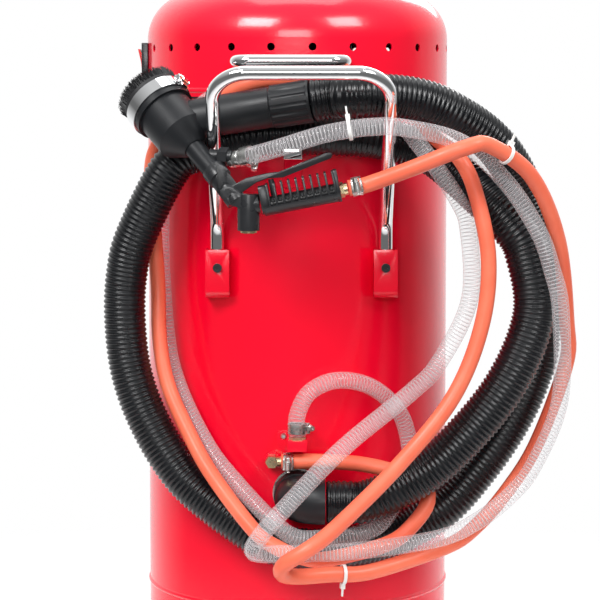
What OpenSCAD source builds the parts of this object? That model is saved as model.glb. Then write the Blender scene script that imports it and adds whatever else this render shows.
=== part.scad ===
// Portable vacuum-recovery blaster: a steel tank on wheels, a lift-off motor head, and a blast gun on three hoses.
// Millimetres. The origin is on the floor, on the tank's axis. The front, with the handle and hoses, faces -Y.

/* [Tank] */
// Outer diameter of tank, cover and base
tank_d = 300; // [292:1:302]
// Sheet thickness of tank and base
tank_wall = 2; // [1.5:0.5:3]
// Height of the tank, from its bottom seam to its rim
tank_h = 488; // [484:1:496]
// Height of the base section
base_h = 100; // [80:1:110]
// Height of the base floor above the ground
base_z = 70; // [68:1:76]
// How far a rolled bead stands out
bead_out = 1.5; // [1:0.1:2]
// Width of a rolled bead
bead_w = 6; // [4:0.5:8]
// Thickness of the rim gasket
gasket_t = 2; // [1:0.5:4]

/* [Cover] */
// Height of the cover
cover_h = 103; // [95:1:115]
// Radius of the cover's shoulder
shoulder_r = 47; // [35:1:55]
// Sheet thickness of the cover
cover_wall = 1.6; // [1.2:0.1:2.5]
// Number of exhaust holes round the cover
vent_count = 24; // [12:1:30]
// Diameter of an exhaust hole
vent_d = 7.5; // [5:0.5:9]
// Height of the exhaust holes above the cover's edge
vent_z = 47; // [40:1:52]
// How far the cover is turned on the tank, in degrees
cover_turn = -2; // [-5:0.5:5]
// Width of the cover's grab handle, outside
grip_bar_w = 113; // [100:1:125]
// Tube diameter of the cover's grab handle
grip_bar_d = 12; // [10:0.5:13]
// How far the grab handle's bar stands out from the axis of a 300 mm tank
grip_bar_out = 200; // [195:1:206]
// Height of the grab handle above the cover's edge
grip_bar_z = 33; // [30:1:38]

/* [Push handle] */
// Tube diameter of the push handle
handle_d = 13; // [11:0.5:14]
// Distance between the centres of its two legs
handle_w = 159; // [150:1:170]
// How far the handle sits to the right of the tank's middle
handle_x = 4; // [0:1:8]
// How far the upper part leans forward, in degrees
handle_lean = 42; // [40:1:44]
// Length of the leaning part, from the bend to the top bar
handle_reach = 196; // [190:1:204]
// Centre radius of the top corners
handle_corner = 32; // [24:1:40]
// Height of the bend above the bottom seam of a 488 mm tank
handle_bend_z = 366; // [360:1:372]
// Distance of the legs in front of the axis of a 300 mm tank
handle_out = 140; // [139:1:144]
// Width of a handle bracket
bracket_w = 22.5; // [20:0.5:28]
// Height of a handle bracket
bracket_h = 46; // [40:1:54]
// Thickness of a bracket's sheet
bracket_wall = 2; // [1.5:0.5:3]

/* [Hose fittings] */
// Outer diameter of the ribbed vacuum hose
vac_d = 40; // [38:1:41]
// Bore of the vacuum hose
vac_bore = 32; // [30:1:34]
// Number of ribs along the vacuum hose
vac_ribs = 176; // [150:1:180]
// How deep the valleys between its ribs are
rib_depth = 2; // [1:0.5:3]
// Outer diameter of the clear sand hose
sand_d = 16; // [14:0.5:17]
// Outer diameter of the air hose
air_d = 14.5; // [12.5:0.5:15]
// Height of the vacuum inlet above the bottom seam
inlet_z = 115; // [113:1:117]
// Bend radius of the inlet elbow
elbow_r = 24; // [22.5:0.5:26]
// Width of a hose clamp's band
clamp_w = 9; // [7:0.5:11]
// Thickness of a hose clamp's band
clamp_t = 1; // [0.6:0.1:1.5]
// Width of the hose hook's strap
hook_w = 17; // [12:1:24]
// Thickness of the hose hook's strap
hook_t = 3; // [2:0.5:4]

/* [Blast gun] */
// Diameter of the rubber blast head
head_d = 58; // [52:1:60]
// Length of the head's straight part
head_l = 51; // [45:1:56]
// Diameter of the gun's barrel
barrel_d = 19; // [16:0.5:21]
// Free length of the brush bristles past the head
bristle_l = 13; // [10:1:20]
// Number of bristle tufts round the brush
tuft_count = 36; // [24:1:40]
// Length of the finned grip
grip_l = 71; // [66:1:73]
// Height of the grip
grip_h = 29; // [26:0.5:30]
// Width of the grip
grip_w = 24; // [20:1:26]
// Number of cooling fins on the grip
fin_count = 10; // [6:1:12]
// Thickness of a fin
fin_t = 2.4; // [1.5:0.1:3]
// Thickness of the trigger lever
lever_t = 8; // [6:0.5:9]

/* [Inside] */
// Diameter of the motor
motor_d = 110; // [90:1:130]
// Height of the motor
motor_h = 62; // [50:1:70]
// Diameter of the filter cartridge
filter_d = 130; // [100:1:150]
// Length of the filter cartridge
filter_l = 170; // [120:1:180]
// Number of pleats in the filter
pleats = 40; // [24:1:60]
// Height of the hopper cone
cone_h = 76; // [60:1:80]
// Diameter of the cone's outlet
cone_out_d = 70; // [50:1:90]

/* [Wheels] */
// Diameter of a rear wheel
wheel_d = 68; // [60:1:68]
// Width of a rear wheel
wheel_w = 26; // [20:1:30]
// Distance from the middle to a rear wheel's middle
wheel_x = 108; // [100:1:115]
// Distance of the rear axle behind the tank's axis
axle_y = 78; // [70:1:85]
// Diameter of the rear axle
axle_d = 12; // [10:0.5:14]
// Diameter of a caster wheel
caster_d = 50; // [46:1:50]
// Width of a caster wheel
caster_w = 18; // [14:1:22]
// How far a caster wheel trails behind its swivel
caster_trail = 18; // [14:1:22]
// Distance from the middle to a caster's swivel
caster_x = 84; // [78:1:88]
// Distance of the casters in front of the tank's axis
caster_y = 84; // [78:1:88]

/* [Hidden] */
$fn = 64;
// How far straight tubes run into their bends, and how much thinner they are there
lap = 0.5;
slim = 0.03;
// Facets of the large curved seats
fine = 256;
// Gap between parts that seat on each other along a curved face
seat = 0.3;
// Radial clearance of a shaft in a hole
run = 0.05;
// Gap between a moving part and its neighbour
play = 0.5;
// How far a cut runs past the face that it opens
past = 1;

tank_r = tank_d / 2;
tank_z = base_z + base_h;
rim_z = tank_z + tank_h;
cover_z = rim_z + gasket_t;
inner_r = tank_r - tank_wall;

// The tank that the handle, the gun and the routes are laid out on
laid_r = 150;
laid_z = 170;
laid_h = 488;
wider = tank_r - laid_r;
lifted = tank_z - laid_z;
taller = tank_h - laid_h;
// Between these heights the routes stretch with the tank
stretch_from = 400;
stretch_to = 560;

// A point's place once the tank has its own size
function laid(p) =
    let (share = min(1, max(0, (p.z - stretch_from) / (stretch_to - stretch_from))))
    [p.x, p.y - wider, p.z + lifted + taller * share];

// Steel red, chrome, black plastic and the other finishes
red = [0.85, 0.05, 0.1];
chrome = [0.8, 0.82, 0.84];
black = [0.09, 0.09, 0.1];
brass = [0.78, 0.68, 0.45];
zinc = [0.7, 0.7, 0.68];
orange = [0.95, 0.42, 0.3];
clear = [0.85, 0.87, 0.88, 0.6];
white = [0.93, 0.93, 0.92];

// The gun leans on the handle: a point of its axis, and the axis towards the brush
gun_at = laid([-83, -226, 602.5]);
gun_tilt = 51.8;
gun_turn = 135.6;
gun_axis = [sin(gun_tilt) * cos(gun_turn), sin(gun_tilt) * sin(gun_turn), cos(gun_tilt)];
// Stations along the gun's axis, from that point
barrel_end = -13;
taper_start = 18;
taper_end = 36;
head_end = taper_end + head_l;
suction_at = 55.4;
// The grip's left end, and how far it rises to the right
grip_at = laid([-33, -246, 567.5]);
grip_rise = 11.3;
// The trigger's pivot
pivot = laid([-62.5, -246, 574.5]);
pin_r = 2;
// The valve plunger, along the grip and under the lever
plunger_x = 13;
plunger_r = 2.5;
plunger_out = 2.8;
plunger_travel = 4;

// Routes of the hoses: from the gun's fittings to the tank's
vacuum_points = [
    [14, -216, 657], [33, -219, 660], [52, -225, 661], [88, -215, 661], [120, -206, 655], [150, -197, 641],
    [178, -182, 621], [200, -165, 594], [217, -149, 558], [227, -142, 520], [230, -137, 430],
    [221, -138, 392], [204, -142, 356], [179, -146, 318], [143, -148, 275], [108, -150, 252],
    [76, -158, 240], [40, -170, 236], [4, -174, 236], [-33, -171, 246], [-92, -156, 286],
    [-121, -147, 318], [-145, -138, 360], [-159, -134, 402], [-164, -134, 450], [-162, -135, 492],
    [-152, -140, 530], [-118, -150, 595], [-91, -147, 610], [-60, -160, 621], [-20, -172, 626],
    [56, -166, 624], [96, -154, 617], [130, -160, 604], [175, -186, 564], [196, -193, 542],
    [210, -195, 518], [218, -197, 460], [190, -200, 392], [136, -200, 328], [92, -198, 298],
    [62, -196, 285.3], [44, -196, 285], [27, -196, 285]];
sand_points = [
    [-50, -236, 606], [-34, -248, 610], [-14, -256, 616], [8, -261, 623], [30, -265, 629],
    [64, -267, 634], [96, -264, 633], [148, -246, 619], [190, -229, 582], [219, -224, 538],
    [231, -224, 505], [240, -221, 465], [243, -195, 380], [220, -188, 318], [198, -190, 290],
    [165, -197, 266], [128, -209, 253], [50, -230, 246], [-14, -240, 246], [-32, -250, 248],
    [-40, -264, 254], [-34, -276, 268], [-16, -279, 290], [40, -253, 344], [104, -225, 392],
    [130, -215, 418], [158, -206, 474], [157, -205, 536], [147, -205, 566], [112, -203, 616],
    [92, -191, 638], [60, -176, 654], [24, -171, 664], [-18, -166, 664], [-60, -156, 662],
    [-90, -139, 652], [-123, -107, 600], [-132, -93, 530], [-126, -101, 428], [-112, -120, 378],
    [-84, -148, 328], [-57, -170, 298], [-22, -196, 266], [0, -204, 253], [28, -204, 253],
    [56, -194, 254], [81, -181, 265], [106, -140, 302], [107, -128, 328], [97, -132, 360],
    [70, -148, 386], [38, -161, 394], [12, -167, 384], [0, -169, 362], [0, -169, 342]];
air_points = [
    [46, -246, 579], [62, -246, 582], [102, -257, 597], [150, -266, 616], [172, -256, 617],
    [212, -230, 588], [240, -198, 528], [252, -170, 450], [252, -166, 410], [225, -166, 335],
    [197, -168, 290], [167, -178, 258], [138, -192, 242], [68, -224, 226], [30, -236, 226],
    [2, -249, 227], [-13, -262, 232], [-12, -277, 244], [8, -282, 258], [34, -272, 276],
    [92, -243, 328], [142, -228, 388], [168, -221, 452], [174, -220, 514], [162, -216, 574],
    [148, -211, 604], [128, -186, 622], [104, -175, 648], [70, -181, 670], [30, -186, 677],
    [-10, -186, 677], [-38, -182, 674], [-60, -175, 666], [-78, -167, 656], [-96, -157, 645],
    [-118, -141, 630], [-136, -127, 606], [-139, -114, 566],
    [-134, -112, 480], [-132, -122, 430], [-124, -134, 388], [-104, -154, 346], [-80, -176, 307],
    [-40, -204, 260], [-18, -215, 246], [4, -218, 238], [28, -217, 236], [84, -201, 247],
    [108, -194, 264], [122, -184, 284], [114, -172, 301], [66, -164, 314], [20, -167.5, 318],
    [2, -167.5, 318], [-15, -167.5, 318]];
// Where the ties hold the hoses, and the way each hose runs there
tie_front_at = [45, -266.3, 631.7];
tie_front_along = [0.985, -0.07, 0.159];
tie_right_at = [186.2, -247.7, 609.7];
tie_right_along = [0.765, 0.46, -0.451];
tie_bottom_at = [43.5, -231.9, 225.1];
tie_bottom_along = [-0.965, -0.253, 0.068];
vacuum_path = [for (p = vacuum_points) laid(p)];
sand_path = [for (p = sand_points) laid(p)];
air_path = [for (p = air_points) laid(p)];

// ---------- shared shapes ----------

function unit(v) = v / norm(v);

// A point of the smooth curve through a route, between point i and the next
function on_route(p, i, t) =
    let (n = len(p) - 1,
        a = i == 0 ? 2 * p[0] - p[1] : p[i - 1],
        b = p[i],
        c = p[i + 1],
        d = i + 2 > n ? 2 * p[n] - p[n - 1] : p[i + 2])
    0.5 * (2 * b + (c - a) * t + (2 * a - 5 * b + 4 * c - d) * t * t + (3 * b - a - 3 * c + d) * t * t * t);

function route(p, steps) = concat(
    [for (i = [0 : len(p) - 2]) for (k = [0 : steps - 1]) on_route(p, i, k / steps)],
    [p[len(p) - 1]]);

// Running length at each point of a line
function running(p) = [for (i = 0, s = 0; i < len(p); s = s + (i + 1 < len(p) ? norm(p[i + 1] - p[i]) : 0), i = i + 1) s];

function find_at(s, x, lo, hi) =
    hi - lo <= 1 ? lo : let (mid = floor((lo + hi) / 2)) s[mid] <= x ? find_at(s, x, mid, hi) : find_at(s, x, lo, mid);

// The line again, with n points at even distances along it
function even(p, n) =
    let (s = running(p), last = len(p) - 1)
    [for (k = [0 : n - 1])
        let (x = s[last] * k / (n - 1), i = find_at(s, x, 0, last))
        p[i] + (p[i + 1] - p[i]) * min(1, (x - s[i]) / (s[i + 1] - s[i]))];

function heading(p, i) =
    let (n = len(p) - 1)
    i == 0 ? unit(p[1] - p[0]) : i == n ? unit(p[n] - p[n - 1]) : unit(unit(p[i + 1] - p[i]) + unit(p[i] - p[i - 1]));

// A side direction at each point that doesn't twist along the line
function sides(p) =
    let (h = [for (i = [0 : len(p) - 1]) heading(p, i)],
        first = unit(cross(h[0], abs(h[0].z) < 0.9 ? [0, 0, 1] : [1, 0, 0])))
    [for (i = 0, u = first; i < len(p);
        u = i + 1 < len(p) ? unit(u - h[i + 1] * (u * h[i + 1])) : u, i = i + 1) u];

function rings(p, r, n) =
    let (u = sides(p))
    [for (i = [0 : len(p) - 1])
        let (h = heading(p, i), v = cross(h, u[i]))
        for (k = [0 : n - 1]) p[i] + r[i] * (u[i] * cos(360 * k / n) + v * sin(360 * k / n))];

// Triangles between ring i and the next; inside out for a bore
function wall_faces(count, n, from, inward) = [for (i = [0 : count - 2]) for (k = [0 : n - 1])
    let (a = from + i * n + k, b = from + i * n + (k + 1) % n, c = a + n, d = b + n)
    each (inward ? [[a, b, c], [b, d, c]] : [[a, c, b], [b, c, d]])];

function fan(n, from, flip) = [for (k = [1 : n - 2]) flip ? [from, from + k + 1, from + k] : [from, from + k, from + k + 1]];

// A solid tube along a line
module tube(p, r, n) {
    count = len(p);
    polyhedron(rings(p, [for (q = p) r], n),
        concat(wall_faces(count, n, 0, false), fan(n, 0, false), fan(n, (count - 1) * n, true)), convexity = 10);
}

// A ribbed tube with its bore: crests and valleys in turn outside, a plain wall inside
module ribbed_tube(line, ribs, r, valley_r, bore_r, bore_rings, n) {
    outer = even(line, 2 * ribs);
    inner = even(line, bore_rings);
    count = len(outer);
    last = (count - 1) * n;
    bore = count * n;
    bore_last = bore + (bore_rings - 1) * n;
    polyhedron(
        concat(rings(outer, [for (i = [0 : count - 1]) i % 2 == 0 ? r : valley_r], n),
            rings(inner, [for (q = inner) bore_r], n)),
        concat(wall_faces(count, n, 0, false), wall_faces(bore_rings, n, bore, true),
            [for (k = [0 : n - 1]) let (j = (k + 1) % n) each [[k, j, bore + k], [j, bore + j, bore + k]]],
            [for (k = [0 : n - 1]) let (j = (k + 1) % n)
                each [[last + k, bore_last + k, last + j], [last + j, bore_last + k, bore_last + j]]]),
        convexity = 10);
}

// Least distance between parts of a line that lie further apart along it than apart
function least_gap(p, apart) =
    let (s = running(p))
    min([for (i = [0 : len(p) - 1]) for (j = [i + 1 : len(p) - 1]) if (s[j] - s[i] > apart) norm(p[i] - p[j])]);

// A child drawn from a point along a direction, with its Z on that direction
module along(from, dir) {
    d = unit(dir);
    translate(from)
        rotate([0, acos(d.z), atan2(d.y, d.x)])
            children();
}

module in_gun() {
    translate(gun_at)
        rotate([0, gun_tilt, gun_turn])
            children();
}

module in_grip() {
    translate(grip_at)
        rotate([0, -grip_rise, 0])
            children();
}

function gun_point(w) = gun_at + gun_axis * w;

module pipe(r, bore_r, h) {
    difference() {
        cylinder(r = r, h = h);
        translate([0, 0, -past])
            cylinder(r = bore_r, h = h + 2 * past);
    }
}

// A quarter bend of round tube, from +X round to +Y
module quarter(bend_r, r, bore_r) {
    rotate_extrude(angle = 90)
        translate([bend_r, 0])
            difference() {
                circle(r);
                if (bore_r > 0)
                    circle(bore_r);
            }
}

module torus(ring_r, r) {
    rotate_extrude()
        translate([ring_r, 0])
            circle(r);
}

// A worm-drive clamp round a hose, with its screw beside the band
module hose_clamp(hose_r) {
    band = hose_r + seat;
    difference() {
        union() {
            cylinder(r = band + clamp_t, h = clamp_w);
            translate([-5, 0, 0])
                cube([10, band + 6, clamp_w]);
            translate([-8, band + 4, clamp_w / 2])
                rotate([0, 90, 0])
                    cylinder(r = 2.6, h = 16);
        }
        translate([0, 0, -past])
            cylinder(r = band, h = clamp_w + 2 * past);
    }
}

// Room for the tank or the cover, with the seating gap, cut from what sits on it
module tank_space(z, h) {
    translate([0, 0, z])
        cylinder(r = tank_r + seat, h = h, $fn = fine);
}

// A disc with its back hollowed to sit on the tank's wall; its face points to -Y
module saddle(x, z, r, out) {
    difference() {
        translate([x, 0, z])
            rotate([90, 0, 0])
                cylinder(r = r, h = out);
        tank_space(z - r - past, 2 * r + 2 * past);
    }
}

// ---------- tank ----------

inlet_height = tank_z + inlet_z;
inlet_r = vac_bore / 2 + 2;
manifold_up = 157;
manifold_z = tank_z + manifold_up;
sand_foot = sand_path[len(sand_path) - 1];
air_stem = air_path[len(air_path) - 1];
air_line_up = 148;
air_line_z = tank_z + air_line_up;
air_line_x = -11;
air_line_r = 5;
pickup_x = 3;
pickup_r = 7;
// How far the inside lines reach out into the manifold block
line_out = 5;

module tank_shell() {
    color(red)
        difference() {
            union() {
                translate([0, 0, tank_z])
                    cylinder(r = tank_r, h = tank_h);
                translate([0, 0, tank_z + bead_w / 2])
                    torus(tank_r + bead_out - bead_w / 2, bead_w / 2);
            }
            translate([0, 0, tank_z + tank_wall])
                cylinder(r = inner_r, h = tank_h);
            translate([0, 0, inlet_height])
                rotate([90, 0, 0])
                    cylinder(r = inlet_r + seat, h = tank_r + past);
            translate([pickup_x, 0, manifold_z + 4])
                rotate([90, 0, 0])
                    cylinder(r = pickup_r + seat, h = tank_r + past);
            translate([air_line_x, -tank_r - past, air_line_z])
                rotate([-90, 0, 0])
                    cylinder(r = air_line_r + seat, h = 2 * tank_r + 2 * past);
        }
}

module base_skirt() {
    color(red)
        difference() {
            translate([0, 0, base_z])
                cylinder(r = tank_r, h = base_h);
            translate([0, 0, base_z + 3])
                cylinder(r = inner_r, h = base_h);
        }
}

module hopper_cone() {
    top_r = inner_r - seat;
    out_r = cone_out_d / 2;
    base = tank_z + tank_wall;
    color(red)
        difference() {
            union() {
                translate([0, 0, base + 6])
                    cylinder(r1 = out_r, r2 = top_r, h = cone_h);
                translate([0, 0, base])
                    cylinder(r = out_r, h = 6);
            }
            translate([0, 0, base + 6 + 2.5])
                cylinder(r1 = out_r - 1, r2 = top_r - 1, h = cone_h);
            translate([0, 0, base + 3])
                cylinder(r = out_r - 2, h = 8);
        }
}

module pickup_pipe() {
    back = -inner_r + 24;
    foot = tank_z + tank_wall + cone_h + 8;
    color(zinc)
        difference() {
            union() {
                translate([pickup_x, back + pickup_r, manifold_z + 4])
                    rotate([90, 0, 0])
                        cylinder(r = pickup_r, h = tank_r + back + pickup_r + line_out - seat);
                translate([pickup_x, back, foot])
                    cylinder(r = pickup_r - slim, h = manifold_z + 4 - foot);
            }
            translate([pickup_x, back, foot - past])
                cylinder(r = pickup_r - 1.5, h = manifold_z - foot);
        }
}

module air_line() {
    color(brass)
        translate([air_line_x, -tank_r - line_out + seat, air_line_z])
            rotate([-90, 0, 0])
                pipe(air_line_r, air_line_r - 1, 2 * tank_r + line_out - 2 * seat - 1.2);
}

module rim_gasket() {
    color(black)
        translate([0, 0, rim_z])
            pipe(tank_r, inner_r - 4, gasket_t);
}

// ---------- push handle ----------

bend_r = 30;
handle_r = handle_d / 2;
bend_z = tank_z + handle_bend_z + taller;
leg_out = handle_out + wider;
bracket_top = bend_z - 20;
leg_foot = bracket_top - bracket_h + 8;
bend_run = bend_r * tan(handle_lean / 2);

module handle_side() {
    half = handle_w / 2;
    translate([half, -leg_out, leg_foot])
        cylinder(r = handle_r - slim, h = bend_z - bend_run - leg_foot + lap);
    translate([half, -leg_out - bend_r, bend_z - bend_run])
        rotate([90, 0, 90])
            rotate_extrude(angle = handle_lean)
                translate([bend_r, 0])
                    circle(handle_r);
    translate([0, -leg_out, bend_z])
        rotate([handle_lean, 0, 0]) {
            translate([half, 0, bend_run - lap])
                cylinder(r = handle_r - slim, h = handle_reach - handle_corner - bend_run + 2 * lap);
            translate([half - handle_corner, 0, handle_reach - handle_corner])
                rotate([90, 0, 0])
                    rotate_extrude(angle = 90)
                        translate([handle_corner, 0])
                            circle(handle_r);
        }
}

module push_handle() {
    top_half = handle_w / 2 - handle_corner + lap;
    color(chrome)
        translate([handle_x, 0, 0]) {
            handle_side();
            mirror([1, 0, 0])
                handle_side();
            translate([0, -leg_out, bend_z])
                rotate([handle_lean, 0, 0])
                    translate([-top_half, 0, handle_reach])
                        rotate([0, 90, 0])
                            cylinder(r = handle_r - slim, h = 2 * top_half);
        }
}

bracket_front = leg_out + handle_r + seat + bracket_wall;
bolt_z = bracket_top - 17;
bolt_r = 3;

module bracket_box(grow) {
    corner = 8 - grow;
    w = bracket_w - 2 * grow;
    translate([-w / 2, -bracket_front + grow, bracket_top - bracket_h + grow])
        rotate([90, 0, 90])
            linear_extrude(w)
                difference() {
                    square([60, bracket_h + (grow > 0 ? past : 0) - (grow > 0 ? grow : 0) + (grow > 0 ? grow : 0)]);
                    difference() {
                        translate([-past, -past])
                            square(corner + past);
                        translate([corner, corner])
                            circle(corner);
                    }
                }
}

module handle_bracket(side) {
    x = handle_x + side * handle_w / 2;
    color(red)
        difference() {
            translate([x, 0, 0])
                difference() {
                    bracket_box(0);
                    bracket_box(bracket_wall);
                }
            tank_space(tank_z, tank_h);
            translate([x, -bracket_front - past, bolt_z])
                rotate([-90, 0, 0])
                    cylinder(r = bolt_r + run, h = bracket_wall + 2 * past);
        }
}

module bracket_bolts() {
    color(black)
        for (side = [-1, 1])
            translate([handle_x + side * handle_w / 2, -bracket_front, bolt_z])
                rotate([90, 0, 0]) {
                    difference() {
                        cylinder(r = 4.2, h = 2.4);
                        translate([0, 0, 1])
                            cylinder(r = 2.2, h = 3, $fn = 6);
                    }
                    translate([0, 0, -bracket_wall - seat])
                        cylinder(r = bolt_r, h = bracket_wall + seat);
                }
}

hook_x = -4;
hook_z = rim_z - 55;
hook_out = tank_r + 49;

module hose_hook() {
    color(chrome)
        difference() {
            translate([hook_x - hook_w / 2, 0, hook_z])
                union() {
                    translate([0, -hook_out, 0])
                        cube([hook_w, hook_out - tank_r + 10, hook_t]);
                    translate([0, -hook_out, 0])
                        cube([hook_w, hook_t, 10]);
                    translate([0, -tank_r - seat - hook_t, -28])
                        cube([hook_w, hook_t + 10, 30]);
                }
            tank_space(tank_z, tank_h);
        }
}

// ---------- fittings on the tank ----------

module manifold_block() {
    color(red)
        difference() {
            union() {
                translate([-19, -tank_r - line_out - 1.5, manifold_z - 17])
                    cube([31, 16, 34]);
                translate([-9, -tank_r - 29, manifold_z + 2])
                    cube([18, 40, 10]);
                translate([air_stem.x - 9, 0, air_stem.z])
                    rotate([90, 0, 0])
                        cylinder(r = 7, h = tank_r + 6);
            }
            tank_space(tank_z, tank_h);
            translate([pickup_x, -tank_r - line_out, manifold_z + 4])
                rotate([-90, 0, 0])
                    cylinder(r = pickup_r + seat, h = 20);
            translate([air_line_x, -tank_r - line_out, air_line_z])
                rotate([-90, 0, 0])
                    cylinder(r = air_line_r + seat, h = 20);
        }
}

module manifold_screws() {
    color(zinc)
        for (p = [[-13, manifold_z + 13], [-13, manifold_z - 13], [7, manifold_z - 13]])
            translate([p.x, -tank_r - line_out - 1.5, p.y])
                rotate([90, 0, 0])
                    cylinder(r1 = 3, r2 = 1.8, h = 1.8);
}

module sand_stem() {
    color(brass)
        translate([sand_foot.x, sand_foot.y, manifold_z + 12])
            cylinder(r = 8, h = sand_foot.z - manifold_z - 12 - 0.8, $fn = 6);
}

module sand_clamp_tank() {
    color(zinc)
        translate([sand_foot.x, sand_foot.y, sand_foot.z + 3])
            rotate([0, 0, -60])
                hose_clamp(sand_d / 2 + seat);
}

module air_barb_tank() {
    body = air_stem.x - 9;
    color(brass)
        difference() {
            union() {
                translate([body, -tank_r - 6.8, air_stem.z])
                    rotate([90, 0, 0])
                        cylinder(r = 6, h = -air_stem.y - tank_r - 0.8, $fn = 6);
                translate([body, air_stem.y, air_stem.z])
                    rotate([0, 90, 0])
                        cylinder(r = 4.5, h = air_stem.x - body);
            }
            translate([body - 20, air_stem.y - 20, air_stem.z - 20])
                cube([40, 20 - 6, 40]);
        }
}

module air_clamp_tank() {
    color(zinc)
        translate([air_stem.x + 2, air_stem.y, air_stem.z])
            rotate([0, 90, 0])
                rotate([0, 0, 90])
                    rotate([0, 0, 100])
                        hose_clamp(air_d / 2);
}

collar_l = 22;

module vacuum_inlet() {
    color(zinc)
        difference() {
            union() {
                translate([0, -tank_r + 16, inlet_height])
                    rotate([90, 0, 0])
                        cylinder(r = inlet_r, h = 16 + 1.5);
                saddle(0, inlet_height, inlet_r + 5.5, tank_r + 1.5);
            }
            translate([0, -tank_r + 40, inlet_height])
                rotate([90, 0, 0])
                    cylinder(r = vac_bore / 2, h = 60);
        }
}

module inlet_elbow() {
    hose_end = vacuum_path[len(vacuum_path) - 1];
    mouth_y = -tank_r - collar_l;
    color(black) {
        translate([0, -tank_r - 1.6, inlet_height])
            rotate([90, 0, 0])
                pipe(vac_d / 2 + 2, vac_bore / 2, collar_l - 1.6);
        translate([elbow_r, mouth_y, inlet_height])
            rotate([0, 0, 180])
                quarter(elbow_r, vac_d / 2 + 1, vac_bore / 2);
        translate([elbow_r, mouth_y - elbow_r, inlet_height])
            rotate([0, 90, 0])
                pipe(vac_d / 2 + 1, vac_bore / 2, hose_end.x - elbow_r - 1.2);
    }
}

// The supply nipple screws in at the back; its mouth takes the compressor's coupling
nipple_l = 24;
nipple_r = 8;
nipple_bore = 4.5;

module air_inlet_nipple() {
    color(brass)
        difference() {
            union() {
                translate([air_line_x, tank_r - 3, air_line_z])
                    rotate([-90, 0, 0])
                        cylinder(r = nipple_r, h = nipple_l + 3);
                translate([air_line_x, tank_r + 1.5, air_line_z])
                    rotate([-90, 0, 0])
                        cylinder(r = 12, h = 8, $fn = 6);
            }
            tank_space(tank_z, tank_h);
            translate([air_line_x, tank_r + nipple_l - 15, air_line_z])
                rotate([-90, 0, 0])
                    cylinder(r = nipple_bore, h = 20);
        }
}

// ---------- wheels ----------

axle_z = wheel_d / 2;
hanger_x = wheel_x - wheel_w / 2 - 8;
hanger_t = 5;

module axle() {
    color(zinc)
        translate([-wheel_x - wheel_w / 2 - 5, axle_y, axle_z])
            rotate([0, 90, 0]) {
                cylinder(r = axle_d / 2, h = 2 * wheel_x + wheel_w + 10);
                for (x = [0, 2 * wheel_x + wheel_w + 10 - 4])
                    translate([0, 0, x])
                        cylinder(r = axle_d / 2 + 3, h = 4);
            }
}

module axle_hangers() {
    color(zinc)
        for (side = [-1, 1])
            difference() {
                union() {
                    translate([side * hanger_x - hanger_t / 2, axle_y - 15, axle_z])
                        cube([hanger_t, 30, base_z - axle_z]);
                    translate([side * hanger_x - hanger_t / 2, axle_y, axle_z])
                        rotate([0, 90, 0])
                            cylinder(r = 15, h = hanger_t);
                }
                translate([side * hanger_x - hanger_t, axle_y, axle_z])
                    rotate([0, 90, 0])
                        cylinder(r = axle_d / 2 + run, h = 2 * hanger_t);
            }
}

// A wheel with a round-shouldered tyre, dished sides and a long hub
module wheel(d, w, bore_r) {
    tyre = 5;
    difference() {
        union() {
            translate([0, 0, -w / 2 + tyre])
                cylinder(r = d / 2, h = w - 2 * tyre);
            cylinder(r = d / 2 - tyre, h = w, center = true);
            for (z = [-1, 1])
                translate([0, 0, z * (w / 2 - tyre)])
                    torus(d / 2 - tyre, tyre);
        }
        for (z = [-1, 1])
            translate([0, 0, z * (w / 2)])
                difference() {
                    cylinder(r = d / 2 - 2 * tyre, h = w / 2, center = true);
                    cylinder(r = bore_r + 5, h = w, center = true);
                }
        cylinder(r = bore_r, h = w + 2 * past, center = true);
    }
}

module rear_wheel(side) {
    color(black)
        translate([side * wheel_x, axle_y, axle_z])
            rotate([0, 90, 0])
                wheel(wheel_d, wheel_w, axle_d / 2 + run);
}

swivel_z = base_z - 3;
caster_axle_r = 3;

module caster_plates() {
    color(zinc)
        for (side = [-1, 1])
            translate([side * caster_x, -caster_y, swivel_z]) {
                translate([-24, -24, 0])
                    cube([48, 48, 3]);
                translate([0, 0, -6])
                    cylinder(r = 6, h = 6);
            }
}

module caster_fork(side) {
    gap = caster_w / 2 + 1;
    crown_z = caster_d + 3;
    color(zinc)
        translate([side * caster_x, -caster_y, 0]) {
            difference() {
                union() {
                    translate([0, 0, crown_z])
                        cylinder(r = gap + 4, h = swivel_z - play - crown_z);
                    for (x = [-gap - 3, gap])
                        translate([x, 0, 0])
                            rotate([90, 0, 90])
                                linear_extrude(3)
                                    polygon([[-9, crown_z + 4], [9, crown_z + 4], [caster_trail + 7, caster_d / 2 - 5],
                                        [caster_trail - 7, caster_d / 2 - 5]]);
                }
                translate([0, 0, swivel_z - 7])
                    cylinder(r = 6 + run, h = 10);
            }
            translate([-gap - 3, caster_trail, caster_d / 2])
                rotate([0, 90, 0])
                    cylinder(r = caster_axle_r, h = 2 * gap + 6);
        }
}

module caster_wheel(side) {
    color(black)
        translate([side * caster_x, caster_trail - caster_y, caster_d / 2])
            rotate([0, 90, 0])
                wheel(caster_d, caster_w, caster_axle_r + run);
}

// ---------- head ----------

module cover_outline(inset) {
    r = tank_r - inset;
    top = cover_h - inset;
    s = shoulder_r - inset;
    square([r, cover_h - shoulder_r]);
    square([tank_r - shoulder_r, top]);
    translate([tank_r - shoulder_r, cover_h - shoulder_r])
        intersection() {
            circle(s);
            square(s + past);
        }
}

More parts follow.
